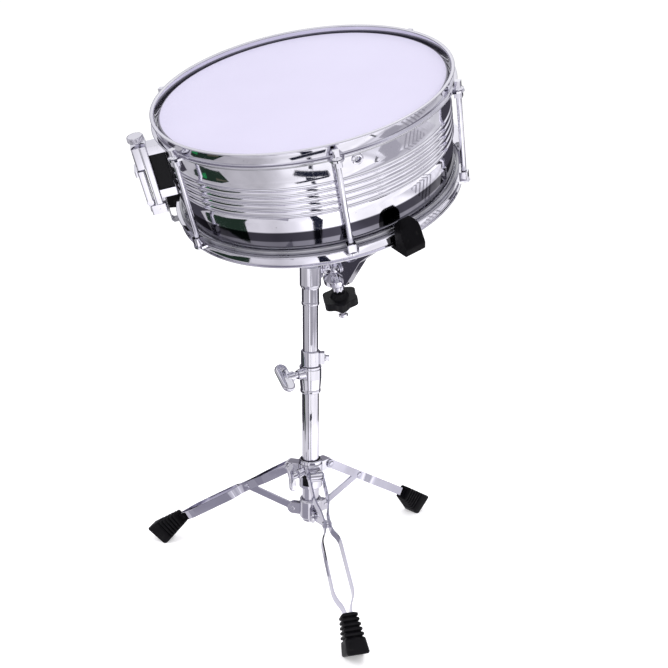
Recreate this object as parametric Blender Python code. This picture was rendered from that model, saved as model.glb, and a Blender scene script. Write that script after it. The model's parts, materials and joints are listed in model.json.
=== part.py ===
"""Snare drum held in the basket of a folding tripod stand.

Metres, +Z up.  The origin is on the floor, at the middle of the stand and drum seen from above.
The drum leans towards -Y, and the stand's tilt hinge runs along X.
"""
from math import cos, pi, radians, sin

import bmesh
import bpy
from mathutils import Matrix, Vector

# Stand: the tube's axis, measured from the object's origin
TUBE_X = 0.0252
TUBE_Y = -0.0136
WALL_GAP = 0.0003
SOLE_DEPTH = 0.0035  # the stand's heights are measured from this far below the floor

LOWER_TUBE_R = 0.01165
LOWER_TUBE_BORE_R = 0.0108
LOWER_TUBE_Z = (0.070, 0.2905)
UPPER_TUBE_R = 0.01045
UPPER_TUBE_BORE_R = 0.0092
UPPER_TUBE_Z = (0.130, 0.4200)

# Tripod linkage, each pivot as (distance from the tube's axis, height)
LEG_AZIMUTHS = [radians(186.96 + 120 * i) for i in range(3)]
LEG_PIVOT = (0.030, 0.148)
STRUT_PIVOT = (0.025, 0.085)
LEG_SLOPE = radians(31.5)
LEG_TO_STRUT_JOINT = 0.0752
STRUT_SLOPE = radians(18.9)
STRUT_LENGTH = 0.0731
STRIP_THICKNESS = 0.002
STRIP_HEIGHT = 0.012
STRUT_THICKNESS = 0.003
STRUT_HEIGHT = 0.010

# Wing bolts, by height and direction from the tube's axis
LEG_BOLT_Z = 0.1455
LEG_BOLT_AZIMUTH = radians(246.96)
COLLAR_WINDOW_AZIMUTH = radians(273)
HEIGHT_BOLT_Z = 0.2885
HEIGHT_BOLT_AZIMUTH = radians(242)
MEMORY_BOLT_Z = 0.3085
MEMORY_BOLT_AZIMUTH = radians(22)

# Tilter: the hinge along X that leans the basket
TILT = radians(24.6)
TILT_HINGE_Y = 0.040
TILT_HINGE_Z = 0.428
TILT_DISC_R = 0.0115
TILT_LUG_HALF_WIDTH = 0.005
TILT_CHEEK_WIDTH = 0.0045

# Drum: heights are measured along its own axis from its middle
DRUM_CENTRE_Z = 0.5986
DRUM_SEGMENTS = 40
SHELL_R = 0.1765
SHELL_WALL = 0.0014
SHELL_HALF_DEPTH = 0.0640
BEAD_RISE = 0.0020
BEAD_HEIGHT = 0.0050
BEAD_PITCH = 0.0084
BEAD_COUNT = 5
BEAD_MIDDLE_Z = 0.0080
FILM_THICKNESS = 0.0004
HOOP_RIM_Z = 0.0725
HOOP_FLANGE_Z = (0.0565, 0.0585)
HOOP_FLANGE_R = 0.1870
ROD_CIRCLE_R = 0.1915
ROD_R = 0.00325
ROD_HOLE_R = 0.0037
ROD_ANGLES = [radians(3.4 + 60 * i) for i in range(6)]
STRAINER_ANGLE = radians(213.4)
BUTT_ANGLE = STRAINER_ANGLE - pi
VENT_ANGLE = radians(-48.6)
VENT_Z = 0.0445

# Basket, in the drum's frame
ARM_ANGLES = [radians(-36.3), radians(78.7), radians(193.7)]
ARM_PIVOT = (0.024, -0.186)
HUB_R = 0.015
HUB_Z = (-0.200, -0.172)
STUD_R = 0.004
KNOB_Z = (-0.261, -0.249)

FINISHES = {
    "chrome": ((0.80, 0.80, 0.84, 1.0), 1.0, 0.08),
    "steel": ((0.62, 0.62, 0.65, 1.0), 1.0, 0.25),
    "rubber": ((0.012, 0.012, 0.014, 1.0), 0.0, 0.65),
    "nylon": ((0.02, 0.02, 0.022, 1.0), 0.0, 0.45),
    "coated_film": ((0.86, 0.85, 0.92, 1.0), 0.0, 0.6),
    "clear_film": ((0.75, 0.76, 0.80, 1.0), 0.0, 0.3),
    "strap": ((0.60, 0.60, 0.64, 1.0), 0.0, 0.5),
}


# ---------------------------------------------------------------- shape tools

# Turns a flat (y, z) outline drawn as (x, y) to face along X
FACING_X = Matrix(((0, 0, 1, 0), (1, 0, 0, 0), (0, 1, 0, 0), (0, 0, 0, 1)))


def clear_scene():
    for old in list(bpy.data.objects):
        bpy.data.objects.remove(old, do_unlink=True)


def lathe(profile, segments=DRUM_SEGMENTS):
    """Turn a closed (radius, height) outline about Z; an outline may start and end on the axis."""
    shape = bmesh.new()
    points = [shape.verts.new((radius, 0.0, height)) for radius, height in profile]
    edges = [shape.edges.new(pair) for pair in zip(points, points[1:])]
    on_axis = profile[0][0] == 0.0 and profile[-1][0] == 0.0
    if not on_axis:
        edges.append(shape.edges.new((points[-1], points[0])))
    bmesh.ops.spin(shape, geom=points + edges, cent=(0, 0, 0), axis=(0, 0, 1),
                   angle=2 * pi, steps=segments)
    return closed(shape)


def closed(shape):
    """Merge the seam's double points and turn every face outwards."""
    bmesh.ops.remove_doubles(shape, verts=shape.verts, dist=0.00001)
    bmesh.ops.recalc_face_normals(shape, faces=shape.faces)
    return shape


def prism(outline, low, high):
    """Extrude a flat (x, y) outline along Z from low to high."""
    shape = bmesh.new()
    base = shape.faces.new([shape.verts.new((x, y, low)) for x, y in outline])
    grown = bmesh.ops.extrude_face_region(shape, geom=[base])["geom"]
    top = [item for item in grown if isinstance(item, bmesh.types.BMVert)]
    bmesh.ops.translate(shape, verts=top, vec=(0, 0, high - low))
    return closed(shape)


def box(x_span, y_span, z_span):
    (x0, x1), (y0, y1) = x_span, y_span
    return prism([(x0, y0), (x1, y0), (x1, y1), (x0, y1)], *z_span)


def cylinder(radius, low, high, segments=16):
    return lathe([(0, low), (radius, low), (radius, high), (0, high)], segments)


def ring(inner, outer, low, high, segments=DRUM_SEGMENTS):
    return lathe([(inner, low), (outer, low), (outer, high), (inner, high)], segments)


def moved(shape, *matrices):
    """Move a shape by each matrix in turn."""
    for matrix in matrices:
        shape.transform(matrix)
    return shape


def turn(angle, axis):
    return Matrix.Rotation(angle, 4, axis)


def shift(x, y, z):
    return Matrix.Translation((x, y, z))


def stand_upright(shape):
    """Turn a flat (x, y) shape so that its y points along Z and its thickness along Y."""
    return moved(shape, turn(pi / 2, "X"))


def as_object(shape, name):
    mesh = bpy.data.meshes.new(name)
    shape.to_mesh(mesh)
    shape.free()
    made = bpy.data.objects.new(name, mesh)
    bpy.context.collection.objects.link(made)
    return made


def combine(base, tools, operation):
    """Join or cut a closed shape with other closed shapes, and return the one that results."""
    target = as_object(base, "target")
    helpers = []
    for index, tool in enumerate(tools):
        helper = as_object(tool, f"helper_{index}")
        helpers.append(helper)
        modifier = target.modifiers.new(f"combine_{index}", "BOOLEAN")
        modifier.operation = operation
        modifier.solver = "EXACT"
        modifier.object = helper
    bpy.context.view_layer.update()
    evaluated = target.evaluated_get(bpy.context.evaluated_depsgraph_get())
    result = bmesh.new()
    result.from_mesh(evaluated.to_mesh())
    for item in [target] + helpers:
        bpy.data.objects.remove(item, do_unlink=True)
    bmesh.ops.remove_doubles(result, verts=result.verts, dist=0.00002)
    bmesh.ops.dissolve_degenerate(result, edges=result.edges, dist=0.00002)
    return result


def join(base, *tools):
    return combine(base, tools, "UNION")


def cut(base, *tools):
    return combine(base, tools, "DIFFERENCE")


def frame(name, location=(0, 0, 0), rotation=(0, 0, 0), parent=None):
    """An empty that carries parts: it stands on a joint's axis or at a sub-assembly's datum."""
    empty = bpy.data.objects.new(name, None)
    empty.empty_display_size = 0.02
    empty.location = location
    empty.rotation_euler = rotation
    empty.parent = parent
    bpy.context.collection.objects.link(empty)
    return empty


def place(name, shape, finish, parent, location=(0, 0, 0), rotation=(0, 0, 0)):
    """Store a shape as a named part with its own material, shaded smooth on its round sides."""
    made = as_object(shape, name)
    made.location = location
    made.rotation_euler = rotation
    made.parent = parent
    made.data.shade_smooth()
    made.data.set_sharp_from_angle(angle=radians(35))
    color, metallic, roughness = FINISHES[finish]
    material = bpy.data.materials.new(f"{name}_{finish}")
    material.use_nodes = True
    surface = material.node_tree.nodes["Principled BSDF"]
    surface.inputs["Base Color"].default_value = color
    surface.inputs["Metallic"].default_value = metallic
    surface.inputs["Roughness"].default_value = roughness
    made.data.materials.append(material)
    return made


# ---------------------------------------------------------------- shared small parts

def capsule(length, width, segments=6):
    """Outline with round ends, centred on the origin and lying along Y."""
    reach = length / 2 - width / 2
    points = []
    for end in (0, 1):
        for step in range(segments + 1):
            angle = pi * end + pi * step / segments
            side = 1 - 2 * end
            points.append((width / 2 * cos(angle), side * reach + width / 2 * sin(angle)))
    return points


def wing_bolt(stem_length, stem_r, wing_length, wing_width, wing_thickness=0.005):
    """A bolt along +X that starts at the origin and ends in a flat wing."""
    stem = moved(cylinder(stem_r, 0, stem_length, 12), turn(pi / 2, "Y"))
    shoulder = moved(cylinder(stem_r * 1.6, stem_length * 0.5, stem_length + wing_width * 0.35, 12),
                     turn(pi / 2, "Y"))
    wing = prism(capsule(wing_length, wing_width), -wing_thickness / 2, wing_thickness / 2)
    moved(wing, shift(stem_length + wing_width / 2 - 0.001, 0, 0))
    return join(stem, shoulder, wing)


def radial(shape, azimuth, height):
    """Aim a shape built along +X outwards from the tube's axis at a height."""
    return moved(shape, turn(azimuth, "Z"), shift(0, 0, height))


# ---------------------------------------------------------------- stand: fixed part of the base

def build_base(stand):
    place("lower_tube", ring(LOWER_TUBE_BORE_R, LOWER_TUBE_R, *LOWER_TUBE_Z, segments=24),
          "chrome", stand)

    sleeve = ring(LOWER_TUBE_R + WALL_GAP, 0.0155, 0.075, 0.103, segments=24)
    lugs = []
    for azimuth in LEG_AZIMUTHS:
        for side in (-1, 1):
            near = side * 0.0018
            far = side * 0.0048
            lug = box((0.0135, 0.031), sorted((near, far)), (0.0775, 0.0935))
            lugs.append(moved(lug, turn(azimuth, "Z")))
    place("strut_collar", join(sleeve, *lugs), "chrome", stand)

    outline = [(0.0120, 0.2600), (0.0138, 0.2600), (0.0150, 0.2780), (0.0150, 0.2975),
               (0.0120, 0.2975)]
    boss = moved(cylinder(0.0070, 0.0130, 0.0225), turn(pi / 2, "Y"))
    radial(boss, HEIGHT_BOLT_AZIMUTH, HEIGHT_BOLT_Z)
    place("height_clamp", join(lathe(outline, 24), boss), "chrome", stand)
    place("clamp_bush", ring(0.0108, 0.0117, 0.2908, 0.2972, segments=24), "nylon", stand)


# ---------------------------------------------------------------- stand: folding tripod

def build_leg_collar(stand):
    carrier = frame("leg_collar_slide", (0, 0, LEG_BOLT_Z), parent=stand)
    sleeve = ring(0.0135, 0.0165, 0.1216, 0.1625, segments=24)
    parts = []
    for azimuth in LEG_AZIMUTHS:
        lug = stand_upright(prism(lug_outline(0.015, LEG_PIVOT[0], 0.0075), -0.0080, 0.0080))
        parts.append(radial(lug, azimuth, LEG_PIVOT[1]))
    boss = moved(cylinder(0.0065, 0.0150, 0.0240), turn(pi / 2, "Y"))
    parts.append(radial(boss, LEG_BOLT_AZIMUTH, LEG_BOLT_Z))
    window = radial(box((0.010, 0.022), (-0.0055, 0.0055), (-0.0080, 0.0080)),
                    COLLAR_WINDOW_AZIMUTH, 0.1345)
    down = shift(0, 0, -LEG_BOLT_Z)
    collar = cut(join(sleeve, *parts), window)
    place("leg_collar", moved(collar, down), "chrome", carrier)
    bush = ring(0.01195, 0.0132, 0.1216, 0.1600, segments=24)
    place("leg_collar_bush", moved(bush, down), "nylon", carrier)
    return carrier


def lug_outline(start, pivot, half_height, steps=6):
    """Side view of a lug that runs outwards along x and ends round its pivot."""
    points = [(start, -half_height), (pivot, -half_height)]
    for step in range(1, steps):
        angle = -pi / 2 + pi * step / steps
        points.append((pivot + half_height * cos(angle), half_height * sin(angle)))
    points += [(pivot, half_height), (start, half_height)]
    return points


# Half of a leg seen from above: (distance along the leg, distance from its middle)
STRIP_PATH = [(-0.006, 0.0095), (0.040, 0.0095), (0.062, 0.0036), (0.086, 0.0036),
              (0.098, 0.0118), (0.176, 0.0128), (0.194, 0.0036), (0.209, 0.0036)]
FOOT_START = 0.200
FOOT_DROOP = radians(9.5)
FOOT_LENGTH = 0.0485
FOOT_SOCKET_DEPTH = 0.0155
FOOT_SHEAR = 0.2
FOOT_RIBS = 6


def build_leg(number, azimuth, carrier):
    radius, height = LEG_PIVOT
    pivot = frame(f"leg_{number}_pivot", (radius * cos(azimuth), radius * sin(azimuth),
                                         height - LEG_BOLT_Z), (0, LEG_SLOPE, azimuth), carrier)
    for letter, side in (("a", 1), ("b", -1)):
        place(f"leg_{number}_strip_{letter}", leg_strip(side), "chrome", pivot)
    place(f"leg_{number}_foot", leg_foot(), "rubber", pivot)


def leg_strip(side):
    half = STRIP_THICKNESS / 2
    outer = [(x, side * (y + half)) for x, y in STRIP_PATH]
    inner = [(x, side * (y - half)) for x, y in reversed(STRIP_PATH)]
    strip = prism(outer + inner, -STRIP_HEIGHT / 2, STRIP_HEIGHT / 2)
    heads = []
    for along, middle in ((0.0, 0.0095), (LEG_TO_STRUT_JOINT, 0.0036)):
        head = cylinder(0.0042, middle + half - 0.0005, middle + half + 0.0016, 12)
        moved(head, turn(-side * pi / 2, "X"), shift(along, 0, 0))
        heads.append(head)
    return join(strip, *heads)


def leg_foot():
    """Ribbed block, cut flat where it meets the floor, with a socket for the leg's two strips."""
    pitch = FOOT_LENGTH / FOOT_RIBS
    rib_height = pitch * 0.68
    shape = bmesh.new()
    rings = []
    for rib in range(FOOT_RIBS):
        for along, rise in ((0.0, 0.0), (0.0010, 0.0013), (rib_height, 0.0013),
                            (rib_height + 0.0010, 0.0)):
            along += pitch * rib
            share = along / FOOT_LENGTH
            width = 0.0090 + 0.0036 * share + rise
            high = 0.0090 + 0.0075 * share + rise
            slant = FOOT_SHEAR * share * high
            corners = ((along - slant, -width, -high), (along - slant, width, -high),
                       (along + slant, width, high), (along + slant, -width, high))
            rings.append([shape.verts.new(corner) for corner in corners])
    for near, far in zip(rings, rings[1:]):
        for i in range(4):
            shape.faces.new((near[i], near[(i + 1) % 4], far[(i + 1) % 4], far[i]))
    shape.faces.new(rings[0])
    shape.faces.new(rings[-1])
    moved(shape, turn(FOOT_DROOP, "Y"), shift(FOOT_START, 0, 0))
    closed(shape)
    floor_point = Vector(((LEG_PIVOT[1] - SOLE_DEPTH) / sin(LEG_SLOPE), 0, 0))
    floor_normal = Vector((sin(LEG_SLOPE), 0, -cos(LEG_SLOPE)))
    sliced = bmesh.ops.bisect_plane(shape, geom=shape.verts[:] + shape.edges[:] + shape.faces[:],
                                    plane_co=floor_point, plane_no=floor_normal, clear_outer=True)
    rim = [item for item in sliced["geom_cut"] if isinstance(item, bmesh.types.BMEdge)]
    bmesh.ops.contextual_create(shape, geom=rim)
    closed(shape)
    socket = box((FOOT_START - 0.005, FOOT_START + FOOT_SOCKET_DEPTH), (-0.0050, 0.0050),
                 (-0.0064, 0.0064))
    return cut(shape, socket)


def build_strut(number, azimuth, stand):
    radius, height = STRUT_PIVOT
    pivot = frame(f"strut_{number}_pivot", (radius * cos(azimuth), radius * sin(azimuth), height),
                  (0, -STRUT_SLOPE, azimuth), stand)
    side = capsule(STRUT_LENGTH + STRUT_HEIGHT, STRUT_HEIGHT)
    bar = prism(side, -STRUT_THICKNESS / 2, STRUT_THICKNESS / 2)
    moved(bar, shift(0, STRUT_LENGTH / 2, 0), turn(-pi / 2, "Z"))
    place(f"strut_{number}", stand_upright(bar), "chrome", pivot)


def build_wing_bolt(name, stand, azimuth, height, start, shape, roll):
    """A wing bolt that turns about its own axis, which points outwards from the tube."""
    pivot = frame(f"{name}_axis", (start * cos(azimuth), start * sin(azimuth), height),
                  (0, 0, azimuth), stand)
    place(name, moved(shape, turn(roll, "X")), "chrome", pivot)


# ---------------------------------------------------------------- mast and tilter

def build_mast(stand):
    mast = frame("mast_slide", (0, 0, UPPER_TUBE_Z[1]), parent=stand)
    down = shift(0, 0, -UPPER_TUBE_Z[1])
    tube = ring(UPPER_TUBE_BORE_R, UPPER_TUBE_R, *UPPER_TUBE_Z, segments=24)
    place("upper_tube", moved(tube, down), "chrome", mast)

    collar = ring(UPPER_TUBE_R + WALL_GAP, 0.0130, 0.2980, 0.3190, segments=24)
    lug = box((0.0115, 0.0190), (-0.0060, 0.0060), (0.3010, 0.3165))
    moved(lug, turn(MEMORY_BOLT_AZIMUTH, "Z"))
    place("memory_lock", moved(join(collar, lug), down), "chrome", mast)

    bolt = join(moved(cylinder(0.0030, 0.0193, 0.0215, 12), turn(pi / 2, "Y")),
                box((0.0210, 0.0255), (-0.0034, 0.0034), (-0.0034, 0.0034)))
    place("memory_lock_bolt", moved(radial(bolt, MEMORY_BOLT_AZIMUTH, MEMORY_BOLT_Z), down),
          "chrome", mast)

    outline = [(UPPER_TUBE_R + WALL_GAP, 0.3820), (0.0116, 0.3820), (0.0116, 0.4040),
               (0.0142, 0.4085), (0.0142, 0.4330), (0.0120, 0.4370), (0, 0.4370),
               (0, 0.4203), (UPPER_TUBE_R + WALL_GAP, 0.4203)]
    casting = lathe_capped(outline, 24)
    neck = box((-TILT_LUG_HALF_WIDTH, TILT_LUG_HALF_WIDTH), (0.0120, TILT_HINGE_Y),
               (0.4180, 0.4360))
    disc = moved(cylinder(TILT_DISC_R, -TILT_LUG_HALF_WIDTH, TILT_LUG_HALF_WIDTH),
                 turn(pi / 2, "Y"), shift(0, TILT_HINGE_Y, TILT_HINGE_Z))
    place("tilter_socket", moved(join(casting, neck, disc), down), "chrome", mast)
    return mast


def lathe_capped(outline, segments):
    """Turn an outline that crosses the axis part way, by starting it at its point on the axis."""
    start = next(i for i, point in enumerate(outline) if point[0] == 0) + 1
    return lathe(outline[start:] + outline[:start], segments)


def build_tilter(mast):
    hinge = frame("tilt_hinge", (0, TILT_HINGE_Y, TILT_HINGE_Z - UPPER_TUBE_Z[1]), parent=mast)
    to_hinge = shift(0, -TILT_HINGE_Y, -TILT_HINGE_Z)
    cheeks = []
    inner = TILT_LUG_HALF_WIDTH + WALL_GAP
    for side in (-1, 1):
        span = sorted((side * inner, side * (inner + TILT_CHEEK_WIDTH)))
        disc = moved(cylinder(TILT_DISC_R, *span), turn(pi / 2, "Y"),
                     shift(0, TILT_HINGE_Y, TILT_HINGE_Z))
        plate = box(span, (TILT_HINGE_Y, 0.0565), (TILT_HINGE_Z - 0.0085, TILT_HINGE_Z + 0.0085))
        cheeks.append(join(disc, plate))
    bridge = box((-0.0090, 0.0090), (0.0530, 0.0570), (TILT_HINGE_Z - 0.0080, TILT_HINGE_Z + 0.0080))
    neck = box((-0.0048, 0.0048), (0.0560, 0.0700), (TILT_HINGE_Z - 0.0075, TILT_HINGE_Z + 0.0075))
    arm = join(bridge, neck, *cheeks)
    drum_matrix = shift(0, 0, DRUM_CENTRE_Z) @ turn(TILT, "X")
    clearance = moved(cylinder(HUB_R + WALL_GAP, HUB_Z[0] - 0.02, HUB_Z[1] + 0.02, 24), drum_matrix)
    place("tilt_arm", moved(cut(arm, clearance), to_hinge), "chrome", hinge)
    bolt = moved(wing_bolt(0.0060, 0.0032, 0.024, 0.011), turn(radians(70), "X"),
                 turn(pi, "Z"), shift(-inner - TILT_CHEEK_WIDTH - WALL_GAP, 0, 0))
    bolt_axis = frame("tilter_wing_bolt_axis", parent=hinge)
    place("tilter_wing_bolt", bolt, "chrome", bolt_axis)
    basket = frame("basket_axis", (0, -TILT_HINGE_Y, DRUM_CENTRE_Z - TILT_HINGE_Z),
                   (TILT, 0, 0), hinge)
    return basket


# ---------------------------------------------------------------- basket, in the drum's frame

# Side view of a basket arm: (distance from the drum's axis, height)
ARM_OUTLINE = [(0.0174, -0.2100), (0.0186, -0.2125), (0.0330, -0.2125), (0.0840, -0.1480),
               (0.1670, -0.0778), (0.1930, -0.0778), (0.1930, -0.0743), (0.1650, -0.0743),
               (0.0950, -0.1120), (0.0330, -0.1640), (0.0190, -0.1770), (0.0190, -0.2010)]
ARM_CHANNEL = [(0.0330, -0.2085), (0.0810, -0.1490), (0.1570, -0.0850), (0.1560, -0.0700),
               (0.0900, -0.1000), (0.0300, -0.1500)]
ARM_HALF_WIDTH = 0.0055
ARM_WEB = 0.0014
CLAW_HALF_WIDTH = 0.0135
CLAW_OUTLINE = [(0.1765, -0.0785), (0.1765, -0.0728), (0.1880, -0.0728), (0.1880, -0.0440),
                (0.1900, -0.0385), (0.1945, -0.0385), (0.1990, -0.0450), (0.2085, -0.0690),
                (0.2070, -0.0785)]
CLAW_POCKET_R = (0.1700, 0.1935)
CLAW_POCKET_Z = (-0.0900, -0.0740)
CLAW_ARCH_Z = -0.0515
CLAW_ARCH_RISE = 0.0142


def claw_arch(steps=8):
    """Front view of a claw, straight below and arched above, extruded through its depth."""
    outline = [(-CLAW_HALF_WIDTH, -0.0800), (CLAW_HALF_WIDTH, -0.0800)]
    for step in range(steps + 1):
        angle = pi * step / steps
        outline.append((CLAW_HALF_WIDTH * cos(angle), CLAW_ARCH_Z + CLAW_ARCH_RISE * sin(angle)))
    return moved(prism(outline, 0.1700, 0.2150), FACING_X)


def build_basket(basket):
    hub = cylinder(HUB_R, *HUB_Z, segments=24)
    ears = []
    for angle in ARM_ANGLES:
        for side in (-1, 1):
            span = sorted((side * (ARM_HALF_WIDTH + WALL_GAP), side * (ARM_HALF_WIDTH + 0.0025)))
            ear = stand_upright(prism(lug_outline(0.010, ARM_PIVOT[0], 0.0065), *span))
            ears.append(radial(ear, angle, ARM_PIVOT[1]))
    place("basket_hub", join(hub, *ears), "chrome", basket)

    stud = lathe([(0, HUB_Z[0] - WALL_GAP), (STUD_R, HUB_Z[0] - WALL_GAP), (STUD_R, -0.2800),
                  (0.0070, -0.2800), (0.0070, -0.2850), (STUD_R, -0.2855), (STUD_R, -0.2880),
                  (0, -0.2880)], 16)
    place("basket_stud", stud, "steel", basket)

    carriage = lathe([(0.0044, -0.2045), (0.0100, -0.2045), (0.0188, -0.2140), (0.0188, -0.2220),
                      (0.0080, -0.2225), (0.0080, -0.2400), (0.0044, -0.2400)], 24)
    carriage_frame = frame("basket_carriage_slide", (0, 0, KNOB_Z[1]), parent=basket)
    place("basket_carriage", moved(carriage, shift(0, 0, -KNOB_Z[1])), "chrome", carriage_frame)

    knob_frame = frame("basket_knob_axis", (0, 0, KNOB_Z[1]), parent=basket)
    place("basket_knob", moved(knob(), shift(0, 0, -KNOB_Z[1])), "nylon", knob_frame)

    for number, angle in enumerate(ARM_ANGLES, 1):
        radius, height = ARM_PIVOT
        pivot = frame(f"basket_arm_{number}_pivot",
                      (radius * cos(angle), radius * sin(angle), height), (0, 0, angle), basket)
        back = shift(-radius, 0, -height)
        body = stand_upright(prism(ARM_OUTLINE, -ARM_HALF_WIDTH, ARM_HALF_WIDTH))
        channel = stand_upright(prism(ARM_CHANNEL, -ARM_HALF_WIDTH + ARM_WEB,
                                      ARM_HALF_WIDTH - ARM_WEB))
        place(f"basket_arm_{number}", moved(cut(body, channel), back), "chrome", pivot)
        claw = stand_upright(prism(CLAW_OUTLINE, -CLAW_HALF_WIDTH, CLAW_HALF_WIDTH))
        claw = combine(claw, [claw_arch()], "INTERSECT")
        pocket = box(CLAW_POCKET_R, (-ARM_HALF_WIDTH - WALL_GAP, ARM_HALF_WIDTH + WALL_GAP),
                     CLAW_POCKET_Z)
        place(f"basket_claw_{number}", moved(cut(claw, pocket), back), "rubber", pivot)


def knob(lobes=6, steps=5):
    """Lobed hand knob on the stud."""
    outline = []
    for step in range(lobes * steps):
        angle = 2 * pi * step / (lobes * steps)
        radius = 0.0250 + 0.0016 * cos(lobes * angle)
        outline.append((radius * cos(angle), radius * sin(angle)))
    body = prism(outline, *KNOB_Z)
    boss = cylinder(0.0110, KNOB_Z[0] - 0.0060, -0.2410)
    bore = cylinder(STUD_R + 0.0004, -0.30, -0.20)
    return cut(join(body, boss), bore)


# ---------------------------------------------------------------- drum

def shell_outline():
    """Section of the shell's wall, top to bottom on its beaded outer side."""
    points = [(SHELL_R - 0.0016, SHELL_HALF_DEPTH), (SHELL_R - 0.0008, SHELL_HALF_DEPTH),
              (SHELL_R, SHELL_HALF_DEPTH - 0.0030)]
    for bead in range(BEAD_COUNT):
        middle = BEAD_MIDDLE_Z + BEAD_PITCH * ((BEAD_COUNT - 1) / 2 - bead)
        points.append((SHELL_R, middle + BEAD_HEIGHT / 2))
        points.append((SHELL_R + BEAD_RISE, middle))
        points.append((SHELL_R, middle - BEAD_HEIGHT / 2))
    points.append((SHELL_R, 0.0030 - SHELL_HALF_DEPTH))
    points.append((SHELL_R - 0.0008, -SHELL_HALF_DEPTH))
    points.append((SHELL_R - 0.0016, -SHELL_HALF_DEPTH))
    return points


def head_outline():
    """Film stretched over the shell's edge and down inside its flesh hoop."""
    top = SHELL_HALF_DEPTH + WALL_GAP + FILM_THICKNESS
    low = HOOP_FLANGE_Z[0] - 0.0005
    return [(0, top), (0.1756, top), (0.1770, top - 0.0009), (0.1776, low), (0.1772, low),
            (0.1766, top - 0.0011), (0.1755, top - FILM_THICKNESS), (0, top - FILM_THICKNESS)]


def hoop_outline():
    """Rim, wall and flange of the upper hoop."""
    low, high = HOOP_FLANGE_Z
    return [(0.1803, low), (HOOP_FLANGE_R, low), (HOOP_FLANGE_R, high), (0.1822, high + 0.0004),
            (0.1822, HOOP_RIM_Z - 0.0024), (0.1850, HOOP_RIM_Z - 0.0016),
            (0.1845, HOOP_RIM_Z), (0.1812, HOOP_RIM_Z), (0.1803, HOOP_RIM_Z - 0.0010)]


def ear_outline():
    return [(0.1835, -0.0085), (0.1920, -0.0080), (0.1968, -0.0055), (0.1988, 0.0),
            (0.1968, 0.0055), (0.1920, 0.0080), (0.1835, 0.0085)]


def hoop():
    """One flanged hoop with its six ears and their holes, as fitted on the upper side."""
    low, high = HOOP_FLANGE_Z
    ears = [moved(prism(ear_outline(), low - WALL_GAP, high + WALL_GAP), turn(a, "Z"))
            for a in ROD_ANGLES]
    holes = [moved(cylinder(ROD_HOLE_R, low - 0.02, high + 0.02, 12),
                   shift(ROD_CIRCLE_R, 0, 0), turn(a, "Z")) for a in ROD_ANGLES]
    return cut(join(lathe(hoop_outline()), *ears), *holes)


def lower_hoop():
    """The hoop turned over, with threaded bosses on its ears and gates for the snare straps."""
    low = HOOP_FLANGE_Z[0]
    upside_down = turn(pi, "X")
    ring_part = moved(lathe(hoop_outline()), upside_down)
    ears = []
    holes = []
    for angle in ROD_ANGLES:
        ears.append(moved(prism(ear_outline(), -HOOP_FLANGE_Z[1] - WALL_GAP, WALL_GAP - low),
                          turn(angle, "Z")))
        half = 0.0052
        boss = box((ROD_CIRCLE_R - half, ROD_CIRCLE_R + half), (-half, half), (-low - 0.001, -0.0460))
        ears.append(moved(boss, turn(angle, "Z")))
        holes.append(moved(cylinder(ROD_HOLE_R, -0.08, -0.03, 12),
                           shift(ROD_CIRCLE_R, 0, 0), turn(angle, "Z")))
    gates = [moved(box((0.175, 0.1845), (-0.012, 0.012), (-0.0696, -0.0595)), turn(a, "Z"))
             for a in (STRAINER_ANGLE, BUTT_ANGLE)]
    return cut(join(ring_part, *ears), *holes, *gates)


def build_drum(basket):
    drum = frame("drum_lift", parent=basket)
    vent = moved(cylinder(0.0050, 0.165, 0.185, 12), turn(pi / 2, "Y"),
                 turn(VENT_ANGLE, "Z"), shift(0, 0, VENT_Z))
    place("shell", cut(lathe(shell_outline()), vent), "chrome", drum)
    grommet = lathe([(0.0034, 0.1735), (0.0046, 0.1735), (0.0046, 0.1770), (0.0066, 0.1770),
                     (0.0060, 0.1782), (0.0034, 0.1782)], 12)
    moved(grommet, turn(pi / 2, "Y"), turn(VENT_ANGLE, "Z"), shift(0, 0, VENT_Z))
    place("vent_grommet", grommet, "chrome", drum)

    over = turn(pi, "X")
    place("batter_head", lathe(head_outline()), "coated_film", drum)
    place("snare_head", moved(lathe(head_outline()), over), "clear_film", drum)
    low = HOOP_FLANGE_Z[0] - WALL_GAP
    flesh = ring(0.1780, 0.1815, low - 0.0045, low)
    place("batter_flesh_hoop", flesh.copy(), "steel", drum)
    place("snare_flesh_hoop", moved(flesh, over), "steel", drum)
    place("batter_hoop", hoop(), "chrome", drum)
    place("snare_hoop", lower_hoop(), "chrome", drum)
    for number, angle in enumerate(ROD_ANGLES, 1):
        axis = frame(f"tension_rod_{number}_axis",
                     (ROD_CIRCLE_R * cos(angle), ROD_CIRCLE_R * sin(angle), 0),
                     (0, 0, angle), drum)
        place(f"tension_rod_{number}", tension_rod(), "chrome", axis)
    return drum


def tension_rod():
    """Rod with a round washer and a square key head, through both hoops' ears."""
    seat = HOOP_FLANGE_Z[1] + 2 * WALL_GAP
    shaft = lathe([(0, -0.0612), (ROD_R - 0.0006, -0.0612), (ROD_R, -0.0604), (ROD_R, seat),
                   (0.0065, seat), (0.0065, seat + 0.0014), (0, seat + 0.0014)], 12)
    half = 0.0037
    head = box((-half, half), (-half, half), (seat + 0.0008, 0.0690))
    return join(shaft, head)


# ---------------------------------------------------------------- snares and strainer

SNARE_Z = -0.0662
SNARE_HALF_LENGTH = 0.135
SNARE_STRANDS = 16
SNARE_PITCH = 0.0026
STRAP_HALF_WIDTH = 0.0075


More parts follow.
